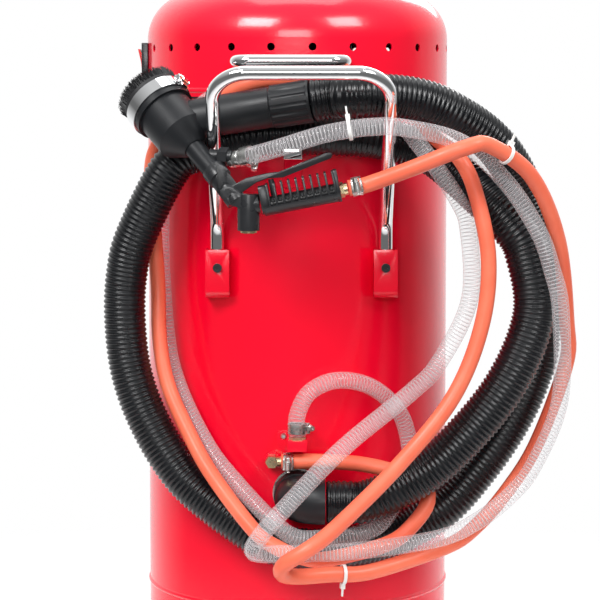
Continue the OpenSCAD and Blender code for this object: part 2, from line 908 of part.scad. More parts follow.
module cover_shell() {
    color(red)
        rotate([0, 0, cover_turn])
            difference() {
                translate([0, 0, cover_z])
                    union() {
                        rotate_extrude()
                            difference() {
                                cover_outline(0);
                                cover_outline(cover_wall);
                            }
                        difference() {
                            translate([0, 0, bead_w])
                                torus(tank_r + bead_out - bead_w / 2, bead_w / 2);
                            cylinder(r = tank_r - cover_wall, h = 3 * bead_w);
                        }
                    }
                for (k = [0 : vent_count - 1])
                    rotate([0, 0, 360 * (k + 0.5) / vent_count])
                        translate([0, -tank_r - past, cover_z + vent_z])
                            rotate([-90, 0, 0])
                                cylinder(d = vent_d, h = cover_wall + 3 * past);
                rotate([0, 0, 180 - cover_turn])
                    translate([gland_x, -tank_r - past, gland_z])
                        rotate([-90, 0, 0])
                            cylinder(r = gland_r + seat, h = 40);
            }
}

grip_bar_x = -6;

grip_corner = 14;

module cover_grip() {
    z = cover_z + grip_bar_z;
    r = grip_bar_d / 2;
    half = grip_bar_w / 2 - r;
    straight = half - grip_corner;
    bar_out = grip_bar_out + wider;
    color(chrome)
        difference() {
            translate([grip_bar_x, 0, z]) {
                for (side = [-1, 1])
                    translate([side * half, -tank_r + 30, 0])
                        rotate([90, 0, 0])
                            cylinder(r = r - slim, h = bar_out - grip_corner - tank_r + 30 + lap);
                for (side = [-1, 1])
                    translate([side * half, -tank_r + 30, 0])
                        rotate([90, 0, 0])
                            cylinder(r = r + 4, h = 32 - 9);
                translate([straight, -bar_out + grip_corner, 0])
                    rotate([0, 0, -90])
                        quarter(grip_corner, r, 0);
                translate([-straight, -bar_out + grip_corner, 0])
                    rotate([0, 0, 180])
                        quarter(grip_corner, r, 0);
                translate([-straight - lap, -bar_out, 0])
                    rotate([0, 90, 0])
                        cylinder(r = r - slim, h = 2 * straight + 2 * lap);
            }
            tank_space(cover_z, cover_h);
        }
}

plate_w = 50;
plate_h = 44;
plate_z = cover_z + 9;
rocker_z = plate_z + 25;
rocker_h = 26;
rocker_w = 20;
plate_out = tank_r + 5;

module switch_plate() {
    color(black)
        difference() {
            translate([-plate_out, -plate_w / 2, plate_z])
                cube([14, plate_w, plate_h]);
            tank_space(cover_z, cover_h);
            translate([-plate_out - past, -rocker_w / 2 - play, rocker_z - rocker_h / 2 - play])
                cube([4, rocker_w + 2 * play, rocker_h + 2 * play]);
        }
}

// The rocker lies tipped in its plate: the upper end stands out
module rocker() {
    color("red")
        translate([-plate_out, 0, rocker_z])
            rotate([90, 0, 0])
                translate([0, 0, -rocker_w / 2])
                    linear_extrude(rocker_w)
                        polygon([[2.5, 0], [0.8, -rocker_h / 2], [-0.4, -rocker_h / 2], [-1.6, 0],
                            [-4.6, rocker_h / 2], [-2.6, rocker_h / 2]]);
}

gland_x = 60;
gland_z = cover_z + 22;
gland_r = 8;
gland_bore = 4;

module cable_gland() {
    out = sqrt(pow(tank_r, 2) - pow(gland_x, 2));
    color(black)
        difference() {
            union() {
                translate([-gland_x, out - 12, gland_z])
                    rotate([-90, 0, 0])
                        cylinder(r = gland_r, h = 30);
                translate([-gland_x, out + 5, gland_z])
                    rotate([-90, 0, 0])
                        cylinder(r = 11, h = 8, $fn = 6);
            }
            translate([-gland_x, out - 14, gland_z])
                rotate([-90, 0, 0])
                    cylinder(r = gland_bore, h = 40);
        }
}

deck_t = 3;
deck_z = cover_z + 8;
deck_r = tank_r - cover_wall - seat;

module motor_deck() {
    color(zinc)
        translate([0, 0, deck_z]) {
            difference() {
                cylinder(r = deck_r, h = deck_t);
                translate([0, 0, -past])
                    cylinder(r = 40, h = deck_t + 2 * past);
            }
        }
}

module vacuum_motor() {
    top = deck_z + deck_t;
    fan_h = 18;
    color(black) {
        translate([0, 0, top])
            pipe(motor_d / 2 + 14, 30, fan_h);
        difference() {
            translate([0, 0, top + fan_h])
                cylinder(r = motor_d / 2, h = motor_h - fan_h - 12);
            for (a = [0 : 30 : 330])
                rotate([0, 0, a])
                    translate([motor_d / 2 - 4, -3, top + fan_h + 6])
                        cube([8, 6, motor_h - fan_h - 24]);
        }
        translate([0, 0, top + motor_h - 12])
            cylinder(r = motor_d / 4, h = 12);
    }
}

module filter_cartridge() {
    top = deck_z;
    r = filter_d / 2;
    color(white)
        translate([0, 0, top - filter_l]) {
            translate([0, 0, 6])
                linear_extrude(filter_l - 12)
                    difference() {
                        polygon([for (k = [0 : 2 * pleats - 1])
                            let (a = 180 * k / pleats, q = k % 2 == 0 ? r - 3 : r - 15) [q * cos(a), q * sin(a)]]);
                        circle(r - 20);
                    }
            cylinder(r = r, h = 6);
            translate([0, 0, filter_l - 6])
                pipe(r, 38, 6);
            translate([0, 0, -14])
                cylinder(r = 4, h = 14);
            translate([-14, -3, -12])
                cube([28, 6, 6]);
        }
}

// ---------- blast gun ----------

head_r = head_d / 2;
body_r = head_r - 3;
head_bore_r = body_r - 3;
barrel_r = barrel_d / 2;
barrel_bore_r = 6;
suction_from = gun_point(suction_at);
suction_to = vacuum_path[0];
suction_dir = unit(suction_to - suction_from);
suction_l = norm(suction_to - suction_from);
branch_l = 38;
hose_cuff_l = 38;
suction_bore_r = vac_bore / 2;

module blast_head() {
    color(black)
        difference() {
            union() {
                in_gun() {
                    translate([0, 0, barrel_end])
                        cylinder(r = barrel_r, h = taper_start - barrel_end);
                    translate([0, 0, taper_start])
                        cylinder(r1 = barrel_r + 1, r2 = body_r, h = taper_end - taper_start);
                    translate([0, 0, taper_end])
                        cylinder(r = body_r, h = head_l);
                    translate([0, 0, head_end - 19])
                        cylinder(r = head_r, h = 19);
                }
                along(suction_from, suction_dir)
                    cylinder(r1 = suction_bore_r + 2, r2 = suction_bore_r + 2.6, h = branch_l);
            }
            in_gun() {
                translate([0, 0, taper_end + 2])
                    cylinder(r = head_bore_r, h = head_l);
                translate([0, 0, taper_start])
                    cylinder(r1 = barrel_bore_r, r2 = head_bore_r, h = taper_end - taper_start + 2.01);
                translate([0, 0, barrel_end - past])
                    cylinder(r = barrel_bore_r, h = taper_start - barrel_end + 2 * past);
            }
            along(suction_from, suction_dir)
                cylinder(r = suction_bore_r, h = branch_l + past);
        }
}

// Bristle tufts stand on a ring that slips over the head's mouth
module brush_ring() {
    inner = head_bore_r - 1;
    color(black)
        in_gun()
            translate([0, 0, head_end + seat]) {
                pipe(head_r, inner, 5);
                for (k = [0 : tuft_count - 1])
                    rotate([0, 0, 360 * k / tuft_count])
                        translate([head_r - 2.6, 0, 4])
                            rotate([0, 12, 0])
                                cylinder(r1 = 2.2, r2 = 2.9, h = bristle_l - 5 + 1.5 * (k % 2), $fn = 5);
                translate([0, 0, 4])
                    difference() {
                        cylinder(r1 = head_r - 2, r2 = head_r + 0.4, h = bristle_l - 6);
                        translate([0, 0, -past])
                            cylinder(r1 = head_r - 4.4, r2 = head_r - 2, h = bristle_l - 6 + 2 * past);
                    }
            }
}

module brush_clamp() {
    r = head_r + seat;
    color(chrome)
        in_gun()
            translate([0, 0, head_end - 13]) {
                pipe(r + 1.2, r, 12);
                rotate([0, 0, -155])
                    translate([r + 0.6, -7, 2]) {
                        cube([6, 14, 8]);
                        translate([3, -3, 4])
                            rotate([-90, 0, 0])
                                cylinder(r = 3.2, h = 20);
                    }
            }
}

module blast_nozzle() {
    color(zinc)
        in_gun()
            translate([0, 0, barrel_end + 4])
                pipe(barrel_bore_r - run, 3, taper_end - barrel_end + 14);
}

module suction_cuff() {
    color(black)
        along(suction_from + suction_dir * (branch_l + seat), suction_dir)
            pipe(suction_bore_r + 2.6, suction_bore_r, suction_l - branch_l - hose_cuff_l - 2 * seat);
}

module hose_cuff() {
    color(black)
        along(suction_to - suction_dir * hose_cuff_l, suction_dir) {
            pipe(vac_d / 2, suction_bore_r, hose_cuff_l - 0.9);
            for (a = [0 : 15 : 345])
                rotate([0, 0, a])
                    translate([vac_d / 2 - 0.4, -0.9, 2])
                        cube([1.2, 1.8, hose_cuff_l - 5]);
        }
}

sand_port_from = gun_point(8.5);
sand_port_to = sand_path[0];
sand_port_dir = unit(sand_path[1] - sand_path[0]);

module sand_port() {
    color(brass)
        difference() {
            union() {
                along(sand_port_from, sand_port_to - sand_port_from)
                    cylinder(r = 6, h = norm(sand_port_to - sand_port_from) - 8);
                along(sand_port_to - sand_port_dir * 9, sand_port_dir)
                    cylinder(r = 7.5, h = 9 - 0.5);
            }
            in_gun()
                translate([0, 0, -15])
                    cylinder(r = barrel_r + seat, h = 55);
        }
}

module sand_clamp_gun() {
    color(zinc)
        along(sand_port_to + sand_port_dir * 2, sand_port_dir)
            rotate([0, 0, -30])
                hose_clamp(sand_d / 2);
}

stub_r = 10;
stub_at = [grip_at.x - 10.5, grip_at.y, grip_at.z - 26.5];
ear_in = lever_t / 2 + seat;
ear_t = 3;

neck_from = gun_point(barrel_end - 8);
neck_to = [stub_at.x - 10.5, stub_at.y, grip_at.z - 0.5];

module valve_body() {
    stub_top = grip_at.z + 6;
    color(black)
        difference() {
            union() {
                in_gun()
                    translate([0, 0, barrel_end - 12])
                        cylinder(r = barrel_r + 1.5, h = 12 - seat);
                // The neck that runs on to the stub
                along(neck_from, neck_to - neck_from)
                    cylinder(r = barrel_r, h = norm(neck_to - neck_from));
                translate(stub_at)
                    cylinder(r = stub_r, h = stub_top - stub_at.z);
                translate([stub_at.x, stub_at.y, grip_at.z - 4])
                    rotate([0, 90 - grip_rise, 0])
                        cylinder(r = 9, h = 9.5);
                for (y = [-ear_in - ear_t, ear_in])
                    translate([pivot.x, pivot.y + y, pivot.z])
                        rotate([-90, 0, 0])
                            linear_extrude(ear_t)
                                polygon([[-6, -3], [-2, -6], [3, -6], [14, 2], [14, 14], [2, 10], [-6, 3]]);
            }
            translate([pivot.x, pivot.y - 20, pivot.z])
                rotate([-90, 0, 0])
                    cylinder(r = pin_r + run, h = 40);
            // Room for the lever's heel between the ears
            translate([pivot.x - 9, pivot.y - ear_in, pivot.z - 7])
                cube([27, 2 * ear_in, 40]);
            // Room for the pin's head
            translate([pivot.x, pivot.y - ear_in - ear_t - 12, pivot.z])
                rotate([-90, 0, 0])
                    cylinder(r = 3.4 + seat, h = 11.9);
            translate([stub_at.x, stub_at.y, stub_at.z - past])
                cylinder(r = 7.5 + run, h = 5 + past);
            in_grip()
                translate([0, -40, -40])
                    cube([40, 80, 80]);
        }
}

module stub_plug() {
    color(brass)
        translate([stub_at.x, stub_at.y, stub_at.z - 2]) {
            cylinder(r = 7.5, h = 7);
            translate([-5, -1.2, -0.8])
                cube([10, 2.4, 1]);
        }
}

// Outline of a fin, seen along the grip: round below, softly cornered above
module fin_outline(inset) {
    r = grip_w / 2 - inset;
    top = grip_h / 2 - inset;
    translate([0, -grip_h / 2 + grip_w / 2])
        circle(r);
    translate([-r, -grip_h / 2 + grip_w / 2])
        square([2 * r, top - 4 + grip_h / 2 - grip_w / 2]);
    translate([-r + 4, 0])
        square([2 * r - 8, top]);
    for (x = [-r + 4, r - 4])
        translate([x, top - 4])
            circle(4);
}

barb_z = -4.5;
lever_slot = 50;

module grip() {
    pitch = (grip_l - 9 - fin_t) / (fin_count - 1);
    color(black)
        difference() {
            in_grip() {
                rotate([90, 0, 90])
                    linear_extrude(7.5)
                        fin_outline(1.5);
                for (k = [0 : fin_count - 1])
                    translate([7 + pitch * k, 0, 0])
                        rotate([90, 0, 90])
                            linear_extrude(fin_t)
                                fin_outline(0);
                translate([0, 0, barb_z])
                    rotate([0, 90, 0])
                        cylinder(r = 7, h = grip_l);
                // The strip that joins the fins below
                translate([3, -5, 1.5 - grip_h / 2])
                    cube([grip_l - 4, 10, 3]);
                translate([grip_l - 2.4, 0, 0])
                    rotate([90, 0, 90])
                        linear_extrude(3.4)
                            fin_outline(-0.5);
                // Guide ears each side of the lever
                for (y = [-lever_t / 2 - play - 3, lever_t / 2 + play + 0.3])
                    translate([plunger_x - 4.3, y, grip_h / 2 - 8])
                        cube([8, 2.7, 16]);
            }
            in_grip() {
                translate([plunger_x, 0, barb_z - 1])
                    cylinder(r = plunger_r + run, h = grip_h);
                // Room for the lever when it is pressed
                translate([-past, -lever_t / 2 - play - 0.3, grip_h / 2 - 4.5])
                    cube([lever_slot, lever_t + 2 * play + 0.6, 30]);
            }
        }
}

module valve_plunger() {
    color(brass)
        in_grip()
            translate([plunger_x, 0, barb_z + plunger_travel])
                cylinder(r = plunger_r, h = grip_h / 2 + plunger_out - barb_z - plunger_travel);
}

module trigger() {
    // Centre line and half width of the lever, from the pivot: plate, neck, handle
    top = [[-6, 1], [-2, 5.5], [4, 6.5], [17, 13.5], [36, 18], [46, 19], [88, 36], [92, 36.5]];
    under = [[94, 34.5], [93, 31.5], [50, 14.2], [36, 13.2], [26, 9.5], [18, 4], [8, -3], [2, -5.5], [-4, -4.5]];
    color(black)
        difference() {
            translate([pivot.x, pivot.y + lever_t / 2, pivot.z])
                rotate([90, 0, 0])
                    linear_extrude(lever_t)
                        polygon(concat(top, under));
            translate([pivot.x, pivot.y - 20, pivot.z])
                rotate([-90, 0, 0])
                    cylinder(r = pin_r + run, h = 40);
        }
}

module trigger_pin() {
    reach = ear_in + ear_t;
    color(zinc)
        translate([pivot.x, pivot.y - reach - 1.2, pivot.z])
            rotate([-90, 0, 0]) {
                cylinder(r = pin_r, h = 2 * reach + 1.2);
                cylinder(r = 3.4, h = 1);
            }
}

module air_barb_gun() {
    color(brass)
        in_grip()
            translate([grip_l + 1 + seat, 0, barb_z])
                rotate([0, 90, 0]) {
                    cylinder(r = 7, h = 3, $fn = 6);
                    cylinder(r = 5.5, h = norm(air_path[0] - grip_at) - grip_l - 2.4);
                }
}

module air_clamp_gun() {
    color(zinc)
        along(air_path[0] + unit(air_path[1] - air_path[0]) * 3, air_path[1] - air_path[0])
            rotate([0, 0, 180])
                hose_clamp(air_d / 2 + 2 * seat);
}

// ---------- hoses ----------

vacuum_line = route(vacuum_path, 4);
sand_line = route(sand_path, 2);
air_line_points = route(air_path, 2);
hose_sides = 8;

module vacuum_hose() {
    line = even(vacuum_line, 80);
    echo(vacuum_gap = least_gap(line, 4 * vac_d) - vac_d);
    echo(vacuum_length = running(vacuum_line)[len(vacuum_line) - 1]);
    color(black)
        ribbed_tube(vacuum_line, vac_ribs, vac_d / 2, vac_d / 2 - rib_depth, vac_bore / 2, 44, hose_sides);
}

module sand_hose() {
    echo(sand_gap = least_gap(sand_line, 4 * sand_d) - sand_d);
    echo(sand_length = running(sand_line)[len(sand_line) - 1]);
    color(clear)
        tube(sand_line, sand_d / 2, 6);
}

module air_hose() {
    echo(air_gap = least_gap(air_line_points, 4 * air_d) - air_d);
    echo(air_length = running(air_line_points)[len(air_line_points) - 1]);
    color(orange)
        tube(air_line_points, air_d / 2, 6);
}

module tie(at, dir, r, turn) {
    color(white)
        along(at, dir)
            rotate([0, 0, turn]) {
                pipe(r + 1.2, r, 3);
                translate([r, -2.5, -0.5])
                    cube([5, 5, 4]);
                translate([r + 3, -1, 0.5])
                    cube([9, 2, 1.6]);
            }
}

module tie_front() {
    tie(laid(tie_front_at), tie_front_along, sand_d / 2 + 0.8, 180);
}

module tie_right() {
    tie(laid(tie_right_at), tie_right_along, air_d / 2 + 0.8, 180);
}

module tie_bottom() {
    tie(laid(tie_bottom_at), tie_bottom_along, air_d / 2 + 0.8, 0);
}

tank_shell();
base_skirt();
hopper_cone();
pickup_pipe();
air_line();
rim_gasket();
push_handle();
handle_bracket(-1);  // bracket_left
handle_bracket(1);  // bracket_right
bracket_bolts();
hose_hook();
manifold_block();
manifold_screws();
sand_stem();
sand_clamp_tank();
air_barb_tank();
air_clamp_tank();
vacuum_inlet();
inlet_elbow();
air_inlet_nipple();
axle();
axle_hangers();
rear_wheel(-1);  // wheel_left
rear_wheel(1);  // wheel_right
caster_plates();
caster_fork(-1);  // caster_fork_left
caster_fork(1);  // caster_fork_right
caster_wheel(-1);  // caster_wheel_left
caster_wheel(1);  // caster_wheel_right
cover_shell();
cover_grip();
switch_plate();
rocker();
cable_gland();
motor_deck();
vacuum_motor();
filter_cartridge();
blast_head();
brush_ring();
brush_clamp();
blast_nozzle();
suction_cuff();
hose_cuff();
sand_port();
sand_clamp_gun();
valve_body();
stub_plug();
grip();
valve_plunger();
trigger();
trigger_pin();
air_barb_gun();
air_clamp_gun();
vacuum_hose();
sand_hose();
air_hose();
tie_front();
tie_right();
tie_bottom();
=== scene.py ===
# A portable vacuum blaster: a red steel tank with a lift-off motor head, a chrome push handle,
# and a blast gun on three coiled hoses. Metres, unless a comment says millimetres.
import math
import random

import bpy
import numpy as np
from mathutils import Matrix, Vector


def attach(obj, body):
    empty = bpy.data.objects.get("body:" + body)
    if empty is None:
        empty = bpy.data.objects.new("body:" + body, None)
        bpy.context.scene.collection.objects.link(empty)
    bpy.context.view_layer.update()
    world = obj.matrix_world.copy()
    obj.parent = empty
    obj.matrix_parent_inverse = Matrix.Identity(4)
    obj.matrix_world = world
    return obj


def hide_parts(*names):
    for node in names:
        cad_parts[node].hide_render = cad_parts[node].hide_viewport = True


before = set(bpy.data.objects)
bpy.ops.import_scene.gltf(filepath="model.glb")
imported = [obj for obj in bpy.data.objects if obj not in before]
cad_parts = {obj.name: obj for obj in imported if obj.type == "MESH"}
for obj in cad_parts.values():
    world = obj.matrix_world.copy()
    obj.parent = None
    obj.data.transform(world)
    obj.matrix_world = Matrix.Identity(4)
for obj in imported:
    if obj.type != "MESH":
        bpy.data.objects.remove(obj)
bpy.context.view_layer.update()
bpy.ops.object.select_all(action="DESELECT")

# ---------------------------------------------------------------- camera
# A long lens a little over two metres away, level with the tank's rim and tipped down a few degrees.
camera_data = bpy.data.cameras.new("camera")
camera_data.lens = 129.05
camera_data.sensor_width = 36
camera_data.shift_y = -0.1057
camera = bpy.data.objects.new("camera", camera_data)
camera.location = (0.00254, -2.17, 0.670)
camera.rotation_euler = (math.radians(86), 0, 0)
bpy.context.collection.objects.link(camera)
bpy.context.scene.camera = camera

# ---------------------------------------------------------------- vacuum hose
# The suction hose: black blow-moulded plastic, ribbed so that it bends, 32 mm inside and 40 mm outside.
# Its gun end plugs into the ribbed cuff, its tank end into the moulded elbow. Its route is in millimetres.
VACUUM_ROUTE = (
    (14, -216, 657), (33, -219, 660), (52, -225, 661), (88, -215, 661), (120, -206, 655),
    (150, -197, 641), (178, -182, 621), (200, -165, 594), (217, -149, 558), (227, -142, 520),
    (230, -137, 430), (221, -138, 392), (204, -142, 356), (179, -146, 318), (143, -148, 275),
    (108, -150, 252), (76, -158, 240), (40, -170, 236), (4, -174, 236), (-33, -171, 246),
    (-92, -156, 286), (-121, -147, 318), (-145, -138, 360), (-159, -134, 402), (-164, -134, 450),
    (-162, -135, 492), (-152, -140, 530), (-118, -150, 595), (-91, -147, 610), (-60, -160, 621),
    (-20, -172, 626), (56, -166, 624), (96, -154, 617), (130, -160, 604), (175, -186, 564),
    (196, -193, 542), (210, -195, 518), (218, -197, 460), (190, -200, 392), (136, -200, 328),
    (92, -198, 298), (62, -196, 285.3), (44, -196, 285), (27, -196, 285))


def smooth_line(points, steps=12):
    """The curve through the points, in metres, as close-set points, and the running length at each."""
    known = np.array(points, float) * 0.001
    ends = np.vstack([2 * known[0] - known[1], known, 2 * known[-1] - known[-2]])
    line = []
    for a, b, c, d in zip(ends, ends[1:], ends[2:], ends[3:]):
        for t in np.arange(steps) / steps:
            line.append(0.5 * (2 * b + (c - a) * t + (2 * a - 5 * b + 4 * c - d) * t ** 2
                               + (3 * b - a - 3 * c + d) * t ** 3))
    line = np.vstack(line + [known[-1]])
    run = np.concatenate([[0], np.cumsum(np.linalg.norm(np.diff(line, axis=0), axis=1))])
    return line, run


def unit(vectors):
    return vectors / np.linalg.norm(vectors, axis=-1, keepdims=True)


def frames(line):
    """At each point of a line: its heading, and two side directions that don't twist along it."""
    heading = unit(np.gradient(line, axis=0))
    side = np.zeros_like(line)
    side[0] = unit(np.cross(heading[0], (0, 0, 1) if abs(heading[0][2]) < 0.9 else (1, 0, 0)))
    for i in range(1, len(line)):
        side[i] = unit(side[i - 1] - heading[i] * (side[i - 1] @ heading[i]))
    return heading, side, np.cross(heading, side)


def at_lengths(line, run, lengths):
    return np.stack([np.interp(lengths, run, line[:, k]) for k in range(3)], axis=1)


def tube(name, line, lengths, radii, sides, capped=True):
    """A round tube along a line, with a radius at each ring. Its UV map is metres along and turns round."""
    run = np.concatenate([[0], np.cumsum(np.linalg.norm(np.diff(line, axis=0), axis=1))])
    centres = at_lengths(line, run, lengths)
    heading, side, up = (unit(at_lengths(v, run, lengths)) for v in frames(line))
    turn = 2 * np.pi * np.arange(sides) / sides
    ring = side[:, None] * np.cos(turn)[None, :, None] + up[:, None] * np.sin(turn)[None, :, None]
    points = (centres[:, None] + ring * np.asarray(radii, float)[:, None, None]).reshape(-1, 3)
    faces = [(i * sides + k, i * sides + (k + 1) % sides,
              (i + 1) * sides + (k + 1) % sides, (i + 1) * sides + k)
             for i in range(len(lengths) - 1) for k in range(sides)]
    places = [((lengths[i], k / sides), (lengths[i], (k + 1) / sides), (lengths[i + 1], (k + 1) / sides),
               (lengths[i + 1], k / sides)) for i in range(len(lengths) - 1) for k in range(sides)]
    if capped:
        faces += [tuple(range(sides))[::-1], tuple(range(len(points) - sides, len(points)))]
        places += [((lengths[0], 0),) * sides, ((lengths[-1], 0),) * sides]
    mesh = bpy.data.meshes.new(name)
    mesh.from_pydata(points.tolist(), [], faces)
    layer = mesh.uv_layers.new(name="run")
    layer.data.foreach_set("uv", [x for face in places for corner in face for x in corner])
    mesh.polygons.foreach_set("use_smooth", [True] * len(mesh.polygons))
    mesh.validate()
    piece = bpy.data.objects.new(name, mesh)
    bpy.context.collection.objects.link(piece)
    return piece


class Wire:
    """A shader value. Sums and products of it are written in Python, and add their Math nodes."""

    def __init__(self, finish, socket):
        self.finish, self.socket = finish, socket

    def _sum(self, operation, *values):
        return self.finish.node("ShaderNodeMath", {"operation": operation}, dict(enumerate(values)))

    def __add__(self, other):
        return self._sum("ADD", self, other)

    def __mul__(self, other):
        return self._sum("MULTIPLY", self, other)

    __radd__, __rmul__ = __add__, __mul__


class Finish:
    """A material with one principled shader. Colours are linear."""

    def __init__(self, name, color, roughness, **sockets):
        self.material = bpy.data.materials.new(name)
        self.material.use_nodes = True
        self.tree = self.material.node_tree
        self.tree.nodes.clear()
        self.skin = self.tree.nodes.new("ShaderNodeBsdfPrincipled")
        out = self.tree.nodes.new("ShaderNodeOutputMaterial")
        self.tree.links.new(self.skin.outputs[0], out.inputs["Surface"])
        self.put(self.skin, {"Base Color": color, "Roughness": roughness,
                             **{key.replace("_", " "): value for key, value in sockets.items()}})

    def put(self, node, values):
        for key, value in values.items():
            socket = node.inputs[key]
            if isinstance(value, Wire):
                self.tree.links.new(value.socket, socket)
            elif isinstance(value, tuple) and len(value) == 3 and socket.type == "RGBA":
                socket.default_value = (*value, 1)
            else:
                socket.default_value = value

    def node(self, kind, settings=None, values=None, out=0):
        made = self.tree.nodes.new(kind)
        for key, value in (settings or {}).items():
            setattr(made, key, value)
        self.put(made, values or {})
        return Wire(self, made.outputs[out])

    def place(self):
        return self.node("ShaderNodeTexCoord", out="Object")

    def noise(self, scale, detail=2.0):
        values = {"Vector": self.place(), "Scale": scale, "Detail": detail}
        return self.node("ShaderNodeTexNoise", {}, values, "Fac")

    def blend(self, mask, first, second):
        return self.node("ShaderNodeMix", {"data_type": "RGBA"}, {0: mask, 6: first, 7: second}, 2)

    def spread(self, value, low, high, to_low, to_high):
        """Maps low..high to to_low..to_high, and holds the ends."""
        return self.node("ShaderNodeMapRange", {"clamp": True},
                         {"Value": value, "From Min": low, "From Max": high,
                          "To Min": to_low, "To Max": to_high})

    def bump(self, height, depth):
        """Raises the surface by height times depth in metres."""
        return self.node("ShaderNodeBump", {}, {"Height": height, "Distance": depth, "Strength": 1.0})

    def wear(self, **sockets):
        self.put(self.skin, {key.replace("_", " "): value for key, value in sockets.items()})
        return self


def dress(finish, *pieces):
    """Gives pieces, or CAD nodes by name, one finish."""
    for piece in pieces:
        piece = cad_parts[piece] if isinstance(piece, str) else piece
        piece.data.materials.clear()
        piece.data.materials.append(finish.material)


vacuum_line, vacuum_run = smooth_line(VACUUM_ROUTE)
VACUUM_R = 0.020
RIBS = 410
RIB_STATIONS = 6
RIB_FULLNESS = 0.7
RIB_SHAPE = [(k / RIB_STATIONS, (0.5 - 0.5 * math.cos(2 * math.pi * k / RIB_STATIONS)) ** RIB_FULLNESS)
             for k in range(RIB_STATIONS)]
RIB_DEPTH = 0.0016
rib_pitch = vacuum_run[-1] / RIBS
stations = np.array([(k + part) * rib_pitch for k in range(RIBS) for part, rise in RIB_SHAPE]
                    + [vacuum_run[-1]])
swell = np.array([VACUUM_R - RIB_DEPTH * (1 - rise) for k in range(RIBS) for part, rise in RIB_SHAPE]
                 + [VACUUM_R - RIB_DEPTH])
vacuum_hose = tube("vacuum_hose_ribbed", vacuum_line, stations, swell, 36)
hose_black = Finish("hose_black", (0.003, 0.0035, 0.005), 0.28, Specular_IOR_Level=0.42)
scuff = hose_black.noise(60, 5)
hose_black.wear(Roughness=hose_black.spread(scuff, 0.4, 0.75, 0.25, 0.34),
                Base_Color=hose_black.blend(hose_black.spread(scuff, 0.55, 0.8, 0, 1), (0.003, 0.0035, 0.005),
                                            (0.006, 0.007, 0.009)))
dress(hose_black, vacuum_hose)
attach(vacuum_hose, "cart")
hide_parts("vacuum_hose")
vacuum_line[::3].tolist() + [vacuum_line[-1].tolist()]

# ---------------------------------------------------------------- sand hose
# The abrasive hose: clear PVC 16 mm outside, with a steel spiral cast into its wall.
# It runs from the gun's side port to the stem on the manifold. Its route is in millimetres.
SAND_ROUTE = (
    (-50, -236, 606), (-34, -248, 610), (-14, -256, 616), (8, -261, 623), (30, -265, 629),
    (64, -267, 634), (96, -264, 633), (148, -246, 619), (190, -229, 582), (219, -224, 538),
    (231, -224, 505), (240, -221, 465), (243, -195, 380), (220, -188, 318), (198, -190, 290),
    (165, -197, 266), (128, -209, 253), (50, -230, 246), (-14, -240, 246), (-32, -250, 248),
    (-40, -264, 254), (-34, -276, 268), (-16, -279, 290), (40, -253, 344), (104, -225, 392),
    (130, -215, 418), (158, -206, 474), (157, -205, 536), (147, -205, 566), (112, -203, 616),
    (92, -191, 638), (60, -176, 654), (24, -171, 664), (-18, -166, 664), (-60, -156, 662),
    (-90, -139, 652), (-123, -107, 600), (-132, -93, 530), (-126, -101, 428), (-112, -120, 378),
    (-84, -148, 328), (-57, -170, 298), (-22, -196, 266), (0, -204, 253), (28, -204, 253),
    (56, -194, 254), (81, -181, 265), (106, -140, 302), (107, -128, 328), (97, -132, 360),
    (70, -148, 386), (38, -161, 394), (12, -167, 384), (0, -169, 362), (0, -169, 342))
sand_line, sand_run = smooth_line(SAND_ROUTE)
SAND_R = 0.008
SPIRAL_PITCH = 0.0034
SPIRAL_R = 0.0064
WIRE_R = 0.00021
RING_STEP = 0.006
count = int(sand_run[-1] / RING_STEP)
sand_hose = tube("sand_hose_clear", sand_line, np.linspace(0, sand_run[-1], count), [SAND_R] * count, 24)
pvc = Finish("clear_pvc", (0.74, 0.72, 0.74), 0.09, Alpha=0.3, Specular_IOR_Level=0.6)
along = pvc.node("ShaderNodeUVMap", {"uv_map": "run"})
length_part = pvc.node("ShaderNodeSeparateXYZ", {}, {0: along}, "X")
ripple = pvc.node("ShaderNodeMath", {"operation": "SINE"}, {0: length_part * (2 * math.pi / SPIRAL_PITCH)})
haze = pvc.noise(30, 3)
rim = pvc.node("ShaderNodeLayerWeight", {}, {"Blend": 0.3}, "Facing")
pvc.wear(Alpha=pvc.spread(ripple, -1, 1, 0.08, 0.2) + pvc.spread(haze, 0.3, 0.7, 0, 0.06) + rim * rim * 0.6,
         Normal=pvc.bump(ripple, 0.00004))
dress(pvc, sand_hose)
WIRE_STEPS_PER_TURN = 10
WIRE_END = 0.0005
wire_count = int(sand_run[-1] / SPIRAL_PITCH * WIRE_STEPS_PER_TURN)
wire_lengths = np.linspace(WIRE_END, sand_run[-1] - WIRE_END, wire_count)
heading, side, up = frames(sand_line)
angle = 2 * np.pi * wire_lengths / SPIRAL_PITCH
helix = at_lengths(sand_line, sand_run, wire_lengths) + SPIRAL_R * (
    np.cos(angle)[:, None] * at_lengths(side, sand_run, wire_lengths)
    + np.sin(angle)[:, None] * at_lengths(up, sand_run, wire_lengths))
helix_run = np.concatenate([[0], np.cumsum(np.linalg.norm(np.diff(helix, axis=0), axis=1))])
sand_spiral = tube("sand_hose_spiral", helix, helix_run, [WIRE_R] * wire_count, 4)
steel = Finish("spiral_steel", (0.62, 0.6, 0.61), 0.55)
steel.wear(Roughness=steel.spread(steel.noise(300, 2), 0.3, 0.7, 0.5, 0.62))
dress(steel, sand_spiral)
for piece in (sand_hose, sand_spiral):
    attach(piece, "cart")
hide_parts("sand_hose")
sand_line[::3].tolist() + [sand_line[-1].tolist()]

